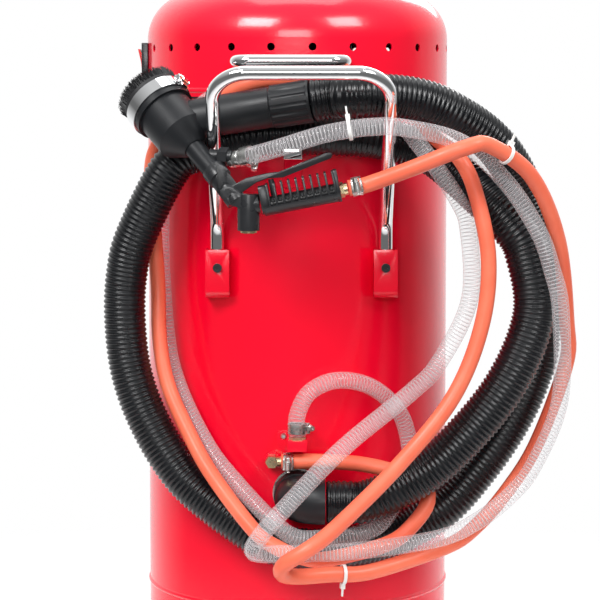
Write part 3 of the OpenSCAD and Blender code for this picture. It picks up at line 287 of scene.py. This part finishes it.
# ---------------------------------------------------------------- air hose
# The compressed-air hose: orange polyurethane 14.5 mm outside, smooth and slightly waxy.
# It runs from the grip's end to the barb beside the manifold. Its route is in millimetres.
AIR_ROUTE = (
    (46, -246, 579), (62, -246, 582), (102, -257, 597), (150, -266, 616), (172, -256, 617),
    (212, -230, 588), (240, -198, 528), (252, -170, 450), (252, -166, 410), (225, -166, 335),
    (197, -168, 290), (167, -178, 258), (138, -192, 242), (68, -224, 226), (30, -236, 226),
    (2, -249, 227), (-13, -262, 232), (-12, -277, 244), (8, -282, 258), (34, -272, 276), (92, -243, 328),
    (142, -228, 388), (168, -221, 452), (174, -220, 514), (162, -216, 574), (148, -211, 604),
    (128, -186, 622), (104, -175, 648), (70, -181, 670), (30, -186, 677), (-10, -186, 677),
    (-38, -182, 674), (-60, -175, 666), (-78, -167, 656), (-96, -157, 645), (-118, -141, 630),
    (-136, -127, 606), (-139, -114, 566), (-134, -112, 480), (-132, -122, 430), (-124, -134, 388),
    (-104, -154, 346), (-80, -176, 307), (-40, -204, 260), (-18, -215, 246), (4, -218, 238),
    (28, -217, 236), (84, -201, 247), (108, -194, 264), (122, -184, 284), (114, -172, 301),
    (66, -164, 314), (20, -167.5, 318), (2, -167.5, 318), (-15, -167.5, 318))
air_line, air_run = smooth_line(AIR_ROUTE)
AIR_R = 0.00725
count = int(air_run[-1] / RING_STEP)
air_hose = tube("air_hose_orange", air_line, np.linspace(0, air_run[-1], count), [AIR_R] * count, 28)
orange = Finish("orange_polyurethane", (0.9, 0.15, 0.075), 0.42, Specular_IOR_Level=0.35)
cloud = orange.noise(28, 4)
orange.wear(Base_Color=orange.blend(orange.spread(cloud, 0.35, 0.7, 0, 1), (0.87, 0.15, 0.08),
                                    (0.92, 0.19, 0.105)),
            Roughness=orange.spread(orange.noise(90, 4), 0.3, 0.7, 0.3, 0.44),
            Normal=orange.bump(orange.noise(420, 2), 0.00004))
dress(orange, air_hose)
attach(air_hose, "cart")
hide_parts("air_hose")
air_line[::3].tolist() + [air_line[-1].tolist()]

# ---------------------------------------------------------------- tank, base and cover
# Rolled and welded steel sheet, powder coated in a bright glossy red, with rolled beads at the seams.
# The brackets and the manifold block are folded and cast pieces in the same coat.
red = Finish("red_powder_coat", (0.9, 0.001, 0.026), 0.2, Coat_Weight=0.3, Coat_Roughness=0.08)
peel = red.noise(230, 2)
patch = red.noise(3, 3)
red.wear(Base_Color=red.blend(red.spread(patch, 0.3, 0.7, 0, 1), (0.88, 0.0008, 0.022), (0.93, 0.002, 0.03)),
         Roughness=red.spread(patch, 0.3, 0.7, 0.16, 0.26), Normal=red.bump(peel, 0.00006))
dress(red, "tank_shell", "base_skirt", "hopper_cone", "cover_shell")


def only(piece):
    bpy.ops.object.select_all(action="DESELECT")
    piece.select_set(True)
    bpy.context.view_layer.objects.active = piece


def finish_with(piece, kind, **settings):
    """Adds a modifier and applies it."""
    only(piece)
    modifier = piece.modifiers.new(kind.lower(), kind)
    for key, value in settings.items():
        setattr(modifier, key, value)
    bpy.ops.object.modifier_apply(modifier=modifier.name)
    return piece


def smooth_by(piece, degrees=35):
    only(piece)
    bpy.ops.object.shade_smooth_by_angle(angle=math.radians(degrees))
    return piece


def edit(piece, *steps):
    """Runs edit-mode operators on all of a piece."""
    only(piece)
    bpy.ops.object.mode_set(mode="EDIT")
    bpy.ops.mesh.select_all(action="SELECT")
    for operator, settings in steps:
        operator(**settings)
    bpy.ops.object.mode_set(mode="OBJECT")
    return piece


def softened(node, body, finish, width, degrees=30):
    """A merged copy of a CAD node with its edges rounded by so many millimetres, in the node's place."""
    piece = bpy.data.objects.new(node + "_softened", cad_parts[node].data.copy())
    bpy.context.collection.objects.link(piece)
    edit(piece, (bpy.ops.mesh.remove_doubles, {"threshold": 1e-6}),
         (bpy.ops.mesh.dissolve_limited, {"angle_limit": math.radians(0.5)}))
    finish_with(piece, "BEVEL", width=width * 0.001, segments=3, limit_method="ANGLE",
                angle_limit=math.radians(degrees), use_clamp_overlap=True)
    smooth_by(piece, 40)
    dress(finish, piece)
    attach(piece, body)
    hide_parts(node)
    return piece


for node in ("bracket_left", "bracket_right", "manifold_block"):
    softened(node, "cart", red, 1.2)

# ---------------------------------------------------------------- rim gasket, elbow and gun's rubber
# Moulded black rubber: matt, with a fine grain left by the mould and a little bloom.
rubber = Finish("moulded_rubber", (0.009, 0.010, 0.012), 0.42, Specular_IOR_Level=0.35)
grain = rubber.noise(700, 3)
rubber.wear(Roughness=rubber.spread(rubber.noise(40, 4), 0.3, 0.7, 0.34, 0.5),
            Normal=rubber.bump(grain, 0.00005))
dress(rubber, "rim_gasket", "inlet_elbow", "blast_head", "suction_cuff")

# ---------------------------------------------------------------- push handle, hook and grab bar
# Bent steel tube and strap, polished and chrome plated. The hook's wall plate wears the tank's coat.
# The grab bar is welded to the cover at both ends.
chrome = Finish("chrome_plate", (0.86, 0.87, 0.88), 0.06, Metallic=1.0)
smear = chrome.noise(18, 4)
chrome.wear(Roughness=chrome.spread(smear, 0.4, 0.75, 0.035, 0.13))
dress(chrome, "push_handle")
HOOK_PLATE_TOP = 0.6025
COAT_EDGE = 0.0003
hook_coat = Finish("hook_coat", (0.86, 0.87, 0.88), 0.06, Metallic=1.0)
height = hook_coat.node("ShaderNodeSeparateXYZ", {}, {0: hook_coat.place()}, "Z")
bare = hook_coat.spread(height, HOOK_PLATE_TOP - COAT_EDGE, HOOK_PLATE_TOP + COAT_EDGE, 0, 1)
hook_coat.wear(Base_Color=hook_coat.blend(bare, (0.9, 0.001, 0.026), (0.86, 0.87, 0.88)), Metallic=bare,
               Roughness=hook_coat.spread(bare, 0, 1, 0.2, 0.06))
softened("hose_hook", "cart", hook_coat, 0.8)

BAR_R = 0.006
BAR_Z, BAR_Y, BAR_FOOT_Y = 0.693, -0.200, -0.136
BAR_LEFT, BAR_RIGHT, BAR_CORNER = -0.0565, 0.0445, 0.014
BEFORE_CORNER = 0.004
bar_line = [(BAR_LEFT, BAR_FOOT_Y, BAR_Z), (BAR_LEFT, BAR_Y + BAR_CORNER + BEFORE_CORNER, BAR_Z)]
bar_line += [(BAR_LEFT + BAR_CORNER * (1 - math.cos(t)), BAR_Y + BAR_CORNER * (1 - math.sin(t)), BAR_Z)
             for t in np.linspace(0, math.pi / 2, 9)]
bar_line += [(BAR_LEFT + BAR_RIGHT - x, y, z) for x, y, z in reversed(bar_line)]
bar_line = np.array(bar_line)
bar_run = np.concatenate([[0], np.cumsum(np.linalg.norm(np.diff(bar_line, axis=0), axis=1))])
grab_bar = tube("cover_grab_bar", bar_line, bar_run, [BAR_R] * len(bar_run), 32)
dress(chrome, grab_bar)
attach(grab_bar, "head")
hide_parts("cover_grip")

# ---------------------------------------------------------------- black plastic fittings
# Injection-moulded nylon: satin, with faint flow marks and a fine texture.
plastic = Finish("black_nylon", (0.016, 0.017, 0.019), 0.3)
plastic.wear(Roughness=plastic.spread(plastic.noise(55, 4), 0.3, 0.7, 0.22, 0.38),
             Normal=plastic.bump(plastic.noise(900, 2), 0.00003))
dress(plastic, "bracket_bolts", "cable_gland", "vacuum_motor", "valve_plunger", "trigger_pin")
softened("switch_plate", "head", plastic, 1.0)

switch_red = Finish("switch_red", (0.8, 0.01, 0.01), 0.25)
switch_red.wear(Roughness=switch_red.spread(switch_red.noise(120, 2), 0.3, 0.7, 0.2, 0.32))
dress(switch_red, "rocker")

# ---------------------------------------------------------------- brass stems, barbs and plugs
# Turned brass, lightly tarnished where it is handled.
brass = Finish("turned_brass", (0.72, 0.58, 0.33), 0.28, Metallic=1.0)
tarnish = brass.noise(120, 4)
brass.wear(Base_Color=brass.blend(brass.spread(tarnish, 0.4, 0.75, 0, 1), (0.74, 0.61, 0.38),
                                  (0.5, 0.38, 0.2)),
           Roughness=brass.spread(tarnish, 0.3, 0.7, 0.2, 0.4))
dress(brass, "air_line", "sand_stem", "air_barb_tank", "air_inlet_nipple", "stub_plug", "air_barb_gun")

# ---------------------------------------------------------------- zinc-plated steel
# Pressed and turned steel with a bright zinc plate, its spangle faintly mottled.
zinc = Finish("zinc_plate", (0.66, 0.66, 0.64), 0.3, Metallic=1.0)
spangle = zinc.noise(160, 3)
zinc.wear(Base_Color=zinc.blend(spangle, (0.56, 0.56, 0.54), (0.76, 0.76, 0.74)),
          Roughness=zinc.spread(spangle, 0.3, 0.7, 0.2, 0.38))
dress(zinc, "pickup_pipe", "manifold_screws", "vacuum_inlet", "axle", "caster_fork_left", "caster_fork_right",
      "motor_deck", "blast_nozzle")
for node in ("axle_hangers", "caster_plates"):
    softened(node, "cart", zinc, 0.6)

# ---------------------------------------------------------------- hose clamps and brush band
# Worm-drive clamps: a slotted steel band, a pressed housing across it, and a hexagon screw that tightens it.


def turned(name, outline, sides=48):
    """A round piece about Z, from its outline of (radius, height) in millimetres."""
    mesh = bpy.data.meshes.new(name)
    mesh.from_pydata([(r * 0.001, 0, z * 0.001) for r, z in outline],
                     [(i, i + 1) for i in range(len(outline) - 1)], [])
    piece = bpy.data.objects.new(name, mesh)
    bpy.context.collection.objects.link(piece)
    finish_with(piece, "SCREW", angle=2 * math.pi, steps=sides, render_steps=sides, axis="Z",
                use_merge_vertices=True, merge_threshold=1e-6)
    return edit(piece, (bpy.ops.mesh.remove_doubles, {"threshold": 1e-6}),
                (bpy.ops.mesh.normals_make_consistent, {}))


def settled(piece, *moves):
    """Moves a piece by matrices, the last one first, and writes its place into its mesh."""
    for move in reversed(moves):
        piece.matrix_world = move @ piece.matrix_world
    only(piece)
    bpy.ops.object.transform_apply(location=True, rotation=True, scale=True)
    return piece


def shift(x, y, z):
    return Matrix.Translation((x * 0.001, y * 0.001, z * 0.001))


def spin(degrees, axis):
    return Matrix.Rotation(math.radians(degrees), 4, axis)


def laid(piece, at, axis, turn=0.0):
    """Carries a piece made about Z to a point in millimetres, with its Z along an axis, turned in degrees."""
    axis = Vector(axis).normalized()
    return settled(piece, shift(*at), spin(math.degrees(math.atan2(axis.y, axis.x)), "Z"),
                   spin(math.degrees(math.acos(axis.z)), "Y"), spin(turn, "Z"))


def joined(name, pieces):
    bpy.ops.object.select_all(action="DESELECT")
    for piece in pieces:
        piece.select_set(True)
    bpy.context.view_layer.objects.active = pieces[0]
    bpy.ops.object.join()
    pieces[0].name = name
    return pieces[0]


def block(name, low, high, rounding):
    """A box between two corners in millimetres, its edges rounded."""
    bpy.ops.object.select_all(action="DESELECT")
    bpy.ops.mesh.primitive_cube_add(size=1)
    piece = bpy.context.object
    piece.name = name
    piece.scale = [(b - a) * 0.001 for a, b in zip(low, high)]
    piece.location = [(a + b) * 0.0005 for a, b in zip(low, high)]
    bpy.ops.object.transform_apply(location=True, rotation=True, scale=True)
    return finish_with(piece, "BEVEL", width=rounding * 0.001, segments=3)


BAND_SIDES = 96
SLOT_FROM, SLOT_TO = 0.26, 0.74
THREAD_PITCH = 0.55


def worm_clamp(name, radius, width, at, axis, turn, screw=8.0, thickness=0.9, slots=range(6, 40, 2)):
    """A worm-drive clamp about Z, in millimetres: its housing towards Y, its screw along X.

    The slots are counted in facets of the band, from the housing.
    """
    heights = (0, SLOT_FROM * width, SLOT_TO * width, width)
    mesh = bpy.data.meshes.new(name)
    around = [2 * math.pi * k / BAND_SIDES for k in range(BAND_SIDES)]
    points = [(radius * 0.001 * math.sin(a), radius * 0.001 * math.cos(a), z * 0.001)
              for z in heights for a in around]
    faces = [(row * BAND_SIDES + k, (row + 1) * BAND_SIDES + k,
              (row + 1) * BAND_SIDES + (k + 1) % BAND_SIDES, row * BAND_SIDES + (k + 1) % BAND_SIDES)
             for row in range(3) for k in range(BAND_SIDES) if not (row == 1 and k in slots)]
    mesh.from_pydata(points, [], faces)
    strip = bpy.data.objects.new(name, mesh)
    bpy.context.collection.objects.link(strip)
    edit(strip, (bpy.ops.mesh.normals_make_consistent, {}))
    finish_with(strip, "SOLIDIFY", thickness=thickness * 0.001, offset=1)
    top = radius + thickness
    saddle = block("saddle", (-5.5, radius - 0.6, -0.7), (5.5, top + 1.6, width + 0.7), 0.5)
    hump = turned("hump", [(0.01, -4.6), (2.7, -4.6), (3.3, -4.0), (3.3, 4.0), (2.7, 4.6), (0.01, 4.6)], 32)
    thread = [(1.9 if i % 2 else 1.45, -screw + THREAD_PITCH * i)
              for i in range(int(2 * screw / THREAD_PITCH))]
    worm = turned("worm", [(0.01, -screw), *thread, (0.01, thread[-1][1])], 20)
    head = turned("screw_head", [(0.01, 0), (3.4, 0), (3.4, 0.6), (3.0, 0.9), (3.0, 3.2), (2.5, 3.8),
                                 (1.0, 3.8), (0.9, 3.2), (0.01, 3.2)], 6)
    for part, along in ((hump, 0), (worm, 0), (head, screw - 2.5)):
        settled(part, shift(along, top + 2.6, width / 2), spin(90, "Y"))
    clamp = joined(name, [strip, saddle, hump, worm, head])
    smooth_by(clamp, 32)
    return laid(clamp, at, axis, turn)


def first_way(route):
    """A route's heading at its first point."""
    return (Vector(route[1]) - Vector(route[0])).normalized()


# In millimetres: the gun's barrel starts at GUN_AT and runs along GUN_AXIS. Its rubber head ends at HEAD_END.
GUN_AT = Vector((-83, -226, 602.5))
GUN_TILT, GUN_TURN = math.radians(51.8), math.radians(135.6)
GUN_AXIS = Vector((math.sin(GUN_TILT) * math.cos(GUN_TURN), math.sin(GUN_TILT) * math.sin(GUN_TURN),
                   math.cos(GUN_TILT)))
HEAD_END = 87
sand_way = first_way(SAND_ROUTE)
air_way = first_way(AIR_ROUTE)
sand_port_end = Vector(SAND_ROUTE[0])
CLAMP_W, CLAMP_SCREW = 9, 7.0
brush_band = worm_clamp("brush_band_clamp", 29.3, 12, GUN_AT + GUN_AXIS * (HEAD_END - 13), GUN_AXIS, 115,
                        9.0, 1.2, range(84, 92, 2))
dress(chrome, brush_band)
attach(brush_band, "cart")
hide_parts("brush_clamp")
for node, radius, at, axis, turn in (
        ("sand_clamp_gun", 8.3, sand_port_end + sand_way * 2, sand_way, -30),
        ("sand_clamp_tank", 8.4, Vector(SAND_ROUTE[-1]) + Vector((0, 0, 3)), (0, 0, 1), -60),
        ("air_clamp_gun", 7.9, Vector(AIR_ROUTE[0]) + air_way * 3, air_way, 180),
        ("air_clamp_tank", 7.5, Vector(AIR_ROUTE[-1]) + Vector((2, 0, 0)), (1, 0, 0), 190)):
    clamp = worm_clamp(node + "_worm", radius, CLAMP_W, at, axis, turn, CLAMP_SCREW)
    dress(zinc, clamp)
    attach(clamp, "cart")
    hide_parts(node)

# ---------------------------------------------------------------- brush
# A ring of stiff black nylon bristles set in a rubber collar, which seals the head against the work.
# Sizes are in millimetres. Each bristle leans outwards and thins towards its tip.
random.seed(7)
BRISTLES = 1700
WINDS = 7
ROOT_IN, ROOT_WIDE = 22.4, 5.9
ROOT_Z, RISE_SHARE = 4, 0.72
BRISTLE_L = 13.6
BRISTLE_SIDES = 3
collar = turned("collar", [(21, 0), (28.9, 0), (28.9, 3.6), (28.2, 4.4), (22, 4.4), (21, 3.6), (21, 0)], 72)
points, faces = [], []
for k in range(BRISTLES):
    around = 2 * math.pi * (k + random.random()) / BRISTLES * WINDS
    root = ROOT_IN + ROOT_WIDE * random.random()
    lean = 0.03 + 0.02 * (root - ROOT_IN) + random.uniform(-0.05, 0.05)
    swing = random.uniform(-0.06, 0.06)
    reach = BRISTLE_L + random.uniform(-1.3, 0.3)
    rooted = len(points)
    for part, thick in ((0, 0.42), (0.55, 0.38), (1, 0.22)):
        out = root + reach * part * math.sin(lean) + 0.5 * part * part
        twist = around + swing * part
        up_by = ROOT_Z + reach * part * math.cos(lean) * RISE_SHARE
        centre = Vector((out * math.cos(twist), out * math.sin(twist), up_by))
        for corner in range(BRISTLE_SIDES):
            a = around + 2 * math.pi * corner / BRISTLE_SIDES
            points.append((centre + Vector((thick * math.cos(a), thick * math.sin(a), 0))) * 0.001)
    for ring in (rooted, rooted + BRISTLE_SIDES):
        faces += [(ring + i, ring + (i + 1) % 3, ring + 3 + (i + 1) % 3, ring + 3 + i) for i in range(3)]
    faces.append((rooted + 6, rooted + 7, rooted + 8))
bristle_mesh = bpy.data.meshes.new("bristles")
bristle_mesh.from_pydata(points, [], faces)
bristles = bpy.data.objects.new("bristles", bristle_mesh)
bpy.context.collection.objects.link(bristles)
core = turned("core", [(22.6, 3), (27.6, 3), (28.4, 10.5), (24.6, 11.6), (22.8, 10), (22.6, 3)], 72)
brush = joined("brush_bristles", [smooth_by(collar), bristles, smooth_by(core)])
laid(brush, GUN_AT + GUN_AXIS * (HEAD_END + 0.3), GUN_AXIS)
bristle_black = Finish("bristle_nylon", (0.006, 0.006, 0.007), 0.55)
bristle_black.wear(Base_Color=bristle_black.blend(bristle_black.noise(400, 2), (0.003, 0.003, 0.004),
                                                  (0.016, 0.016, 0.018)),
                   Roughness=bristle_black.spread(bristle_black.noise(90, 2), 0.3, 0.7, 0.45, 0.65))
dress(bristle_black, brush)
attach(brush, "cart")
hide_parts("brush_ring")

# ---------------------------------------------------------------- ribbed hose cuff
# The swivel cuff that screws on the vacuum hose's end, with broad ribs to grip it by.
# Six steps of FLUTE_STEP degrees make a rib and the flute beside it, where the radius shrinks to FLUTE_SHARE.
CUFF_L, CUFF_BACK = 37.1, 38
FLUTE_STEP, FLUTE_SHARE = 3.75, 0.945
BRANCH_AT = 55.4
suction_from = GUN_AT + GUN_AXIS * BRANCH_AT
suction_to = Vector(VACUUM_ROUTE[0])
suction_way = (suction_to - suction_from).normalized()
cuff = turned("hose_cuff_ribbed", [(17.6, 0), (19.0, 0), (19.9, 1.2), (19.9, 3.0), (19.9, 33.5), (19.9, 35.4),
                                   (19.0, CUFF_L), (17.6, CUFF_L), (17.6, 0)], 96)
for vertex in cuff.data.vertices:
    high = vertex.co.z * 1000
    wide = math.hypot(vertex.co.x, vertex.co.y)
    spoke = round(math.degrees(math.atan2(vertex.co.y, vertex.co.x)) / FLUTE_STEP) % 6
    if wide > 0.0195 and 2 < high < 34 and spoke in (0, 1):
        vertex.co.x *= FLUTE_SHARE
        vertex.co.y *= FLUTE_SHARE
smooth_by(cuff, 28)
laid(cuff, suction_to - suction_way * CUFF_BACK, suction_way)
dress(rubber, cuff)
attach(cuff, "cart")
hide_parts("hose_cuff")

# ---------------------------------------------------------------- sand port
# The abrasive enters the barrel through a black stub with a hexagon nut, which ends in a turned ferrule.
PORT_AT = 8.5
port_from = GUN_AT + GUN_AXIS * PORT_AT
port_way = (sand_port_end - port_from).normalized()
port_l = (sand_port_end - port_from).length
stub = turned("port_stub", [(0.01, 10.2), (6.0, 10.2), (6.0, port_l - 8.5), (0.01, port_l - 8.5)], 40)
nut = turned("port_nut", [(0.01, 19), (8.0, 19), (8.6, 19.8), (8.6, 27.2), (8.0, 28), (0.01, 28)], 6)
port = laid(smooth_by(joined("sand_port_stub", [stub, nut]), 30), port_from, port_way)
dress(plastic, port)
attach(port, "cart")
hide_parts("sand_port")
ferrule = turned("sand_port_ferrule", [(0.01, -12.5), (6.6, -12.5), (7.6, -11.5), (7.6, -8), (7.0, -7.4),
                                       (7.0, -6.4), (7.6, -5.8), (7.6, -1.2), (7.2, -0.5), (0.01, -0.5)], 40)
laid(smooth_by(ferrule, 30), sand_port_end, sand_way)
dress(zinc, ferrule)
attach(ferrule, "cart")

# ---------------------------------------------------------------- grip
# A nylon moulding: ten thin plates stand across a rounded trough, with the air tube running through them.
# Sizes are in millimetres, along the grip from its heel.
GRIP_AT = Vector((-33, -246, 567.5))
GRIP_RISE = 11.3
GRIP_L, GRIP_H, GRIP_W = 71, 29, 24
PLATES, PLATE_T = 10, 2.0


def prism(name, outline, low, high, rounding):
    """A flat piece across the grip: its (Y, Z) outline in millimetres, from X low to X high."""
    count = len(outline)
    mesh = bpy.data.meshes.new(name)
    mesh.from_pydata([(x * 0.001, y * 0.001, z * 0.001) for x in (low, high) for y, z in outline], [],
                     [tuple(range(count))[::-1], tuple(range(count, 2 * count))]
                     + [(k, (k + 1) % count, count + (k + 1) % count, count + k) for k in range(count)])
    piece = bpy.data.objects.new(name, mesh)
    bpy.context.collection.objects.link(piece)
    edit(piece, (bpy.ops.mesh.normals_make_consistent, {}))
    return finish_with(piece, "BEVEL", width=rounding * 0.001, segments=2, limit_method="ANGLE",
                       angle_limit=math.radians(50))


def arc(radius, centre_z, start, end, steps=16):
    return [(radius * math.cos(math.radians(a)), centre_z + radius * math.sin(math.radians(a)))
            for a in np.linspace(start, end, steps)]


def plate_outline(inset, notched):
    r, top, low = GRIP_W / 2 - inset, GRIP_H / 2 - inset, -GRIP_H / 2 + GRIP_W / 2
    crown = [(r, top - 3), (r - 1, top - 0.8), (r - 3, top)]
    notch = [(5.4, top), (5.4, 9.6), (-5.4, 9.6), (-5.4, top)] if notched else []
    return arc(r, low, 180, 360, 20) + crown + notch + [(-y, z) for y, z in reversed(crown)]


TROUGH_Z = -2.5
PLATES_FROM, PLATES_END, NOTCHED_TO = 7, 2, 50
TUBE_R, TUBE_Z = 6.8, -4.5
trough = arc(GRIP_W / 2, TROUGH_Z, 197, 343, 24) + arc(9.4, TROUGH_Z, 339, 201, 20)
parts = [prism("trough", trough, 2, GRIP_L, 0.5), prism("heel", plate_outline(1.4, True), 0, 7.5, 0.6),
         prism("end_plate", plate_outline(-0.4, False), GRIP_L - 2.4, GRIP_L + 1, 0.7)]
plate_pitch = (GRIP_L - PLATES_FROM - PLATES_END - PLATE_T) / (PLATES - 1)
for k in range(PLATES):
    start = PLATES_FROM + plate_pitch * k
    parts.append(prism("plate", plate_outline(0.2, start < NOTCHED_TO), start, start + PLATE_T, 0.35))
air_tube = turned("air_tube", [(0.01, 0), (TUBE_R, 0), (TUBE_R, GRIP_L), (0.01, GRIP_L)], 40)
parts.append(settled(air_tube, shift(0, 0, TUBE_Z), spin(90, "Y")))
for k in range(PLATES - 1):
    boss = turned("boss", [(0.01, 0), (1.7, 0), (1.7, 3.2), (1.2, 3.8), (0.01, 3.8)], 14)
    middle = PLATES_FROM + plate_pitch * (k + 0.5) + PLATE_T / 2
    parts.append(settled(boss, shift(middle, -5.8, -1.5), spin(90, "X")))
grip = smooth_by(joined("grip_finned", parts), 35)
settled(grip, shift(*GRIP_AT), spin(-GRIP_RISE, "Y"))
dress(plastic, grip)
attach(grip, "cart")
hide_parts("grip")

# ---------------------------------------------------------------- valve body and lever
# The cast valve body carries the lever between its ears. The lever is a moulded bar, rounded on every edge.
softened("valve_body", "cart", plastic, 0.9)
softened("trigger", "trigger", plastic, 1.6)

# ---------------------------------------------------------------- filter, ties and wheels
# Pleated paper in the tank, white nylon cable ties, and solid rubber tyres.
paper = Finish("filter_paper", (0.72, 0.7, 0.62), 0.8)
paper.wear(Normal=paper.bump(paper.noise(500, 3), 0.0001))
dress(paper, "filter_cartridge")

nylon = Finish("white_nylon", (0.8, 0.8, 0.78), 0.38)
nylon.wear(Roughness=nylon.spread(nylon.noise(200, 2), 0.3, 0.7, 0.3, 0.45))
dress(nylon, "tie_front", "tie_right", "tie_bottom")

tread = Finish("tyre_rubber", (0.02, 0.02, 0.021), 0.6)
tread.wear(Roughness=tread.spread(tread.noise(80, 4), 0.3, 0.7, 0.5, 0.7),
           Normal=tread.bump(tread.noise(600, 3), 0.0001))
dress(tread, "wheel_left", "wheel_right", "caster_wheel_left", "caster_wheel_right")

# ---------------------------------------------------------------- floor and light
# A pale floor that fades out round the cart, a white surround, and soft boxes high in front and at the sides.
bpy.ops.mesh.primitive_circle_add(vertices=96, radius=1.3, fill_type="NGON", location=(0, 0, 0))
floor = bpy.context.object
floor.name = "floor"
pale = Finish("pale_floor", (0.92, 0.92, 0.92), 0.7, Specular_IOR_Level=0.2)
from_middle = pale.node("ShaderNodeVectorMath", {"operation": "LENGTH"}, {0: pale.place()}, "Value")
pale.wear(Alpha=pale.spread(from_middle, 0.25, 1.1, 1, 0))
dress(pale, floor)

# What the camera sees behind the cart is white. What the cart reflects is bright behind and dark in front.
world = bpy.data.worlds.new("surround")
bpy.context.scene.world = world
world.use_nodes = True
sky = world.node_tree
view = sky.nodes.new("ShaderNodeSeparateXYZ")
sky.links.new(sky.nodes.new("ShaderNodeTexCoord").outputs["Generated"], view.inputs[0])


def sky_ramp(axis, low, high, to_low, to_high):
    """A strength that changes with the direction looked in."""
    ramp = sky.nodes.new("ShaderNodeMapRange")
    for key, value in {"From Min": low, "From Max": high, "To Min": to_low, "To Max": to_high}.items():
        ramp.inputs[key].default_value = value
    sky.links.new(view.outputs[axis], ramp.inputs["Value"])
    return ramp.outputs[0]


def sky_math(operation, first, second):
    made = sky.nodes.new("ShaderNodeMath")
    made.operation = operation
    sky.links.new(first, made.inputs[0])
    sky.links.new(second, made.inputs[1])
    return made.outputs[0]


glow = sky_math("ADD", sky_ramp("Y", 0.1, 0.75, 0.16, 1.0), sky_ramp("Z", 0.1, 0.9, 0.0, 0.5))
seen = sky.nodes.new("ShaderNodeLightPath").outputs["Is Camera Ray"]
sky.links.new(sky_math("MAXIMUM", glow, seen), sky.nodes["Background"].inputs["Strength"])
sky.nodes["Background"].inputs["Color"].default_value = (1, 1, 1, 1)


def soft_box(name, place, aim, width, height, watts):
    data = bpy.data.lights.new(name, "AREA")
    data.shape, data.size, data.size_y, data.energy = "RECTANGLE", width, height, watts
    box = bpy.data.objects.new(name, data)
    box.location = place
    box.rotation_euler = (Vector(aim) - Vector(place)).to_track_quat("-Z", "Y").to_euler()
    bpy.context.collection.objects.link(box)


soft_box("left_box", (-1.3, -2.0, 2.3), (0, 0, 0.45), 1.2, 0.9, 62)
soft_box("right_box", (1.4, -1.7, 2.2), (0, 0, 0.45), 1.0, 0.9, 36)
soft_box("top_box", (0.0, 0.2, 2.8), (0, 0, 0.5), 1.4, 1.0, 13)
soft_box("front_box", (-0.1, -2.6, 1.15), (0, 0, 0.35), 1.1, 0.6, 17)
soft_box("back_box", (0.8, 2.2, 1.8), (0, 0, 0.5), 1.0, 1.0, 16)
bpy.context.scene.view_settings.view_transform = "Standard"
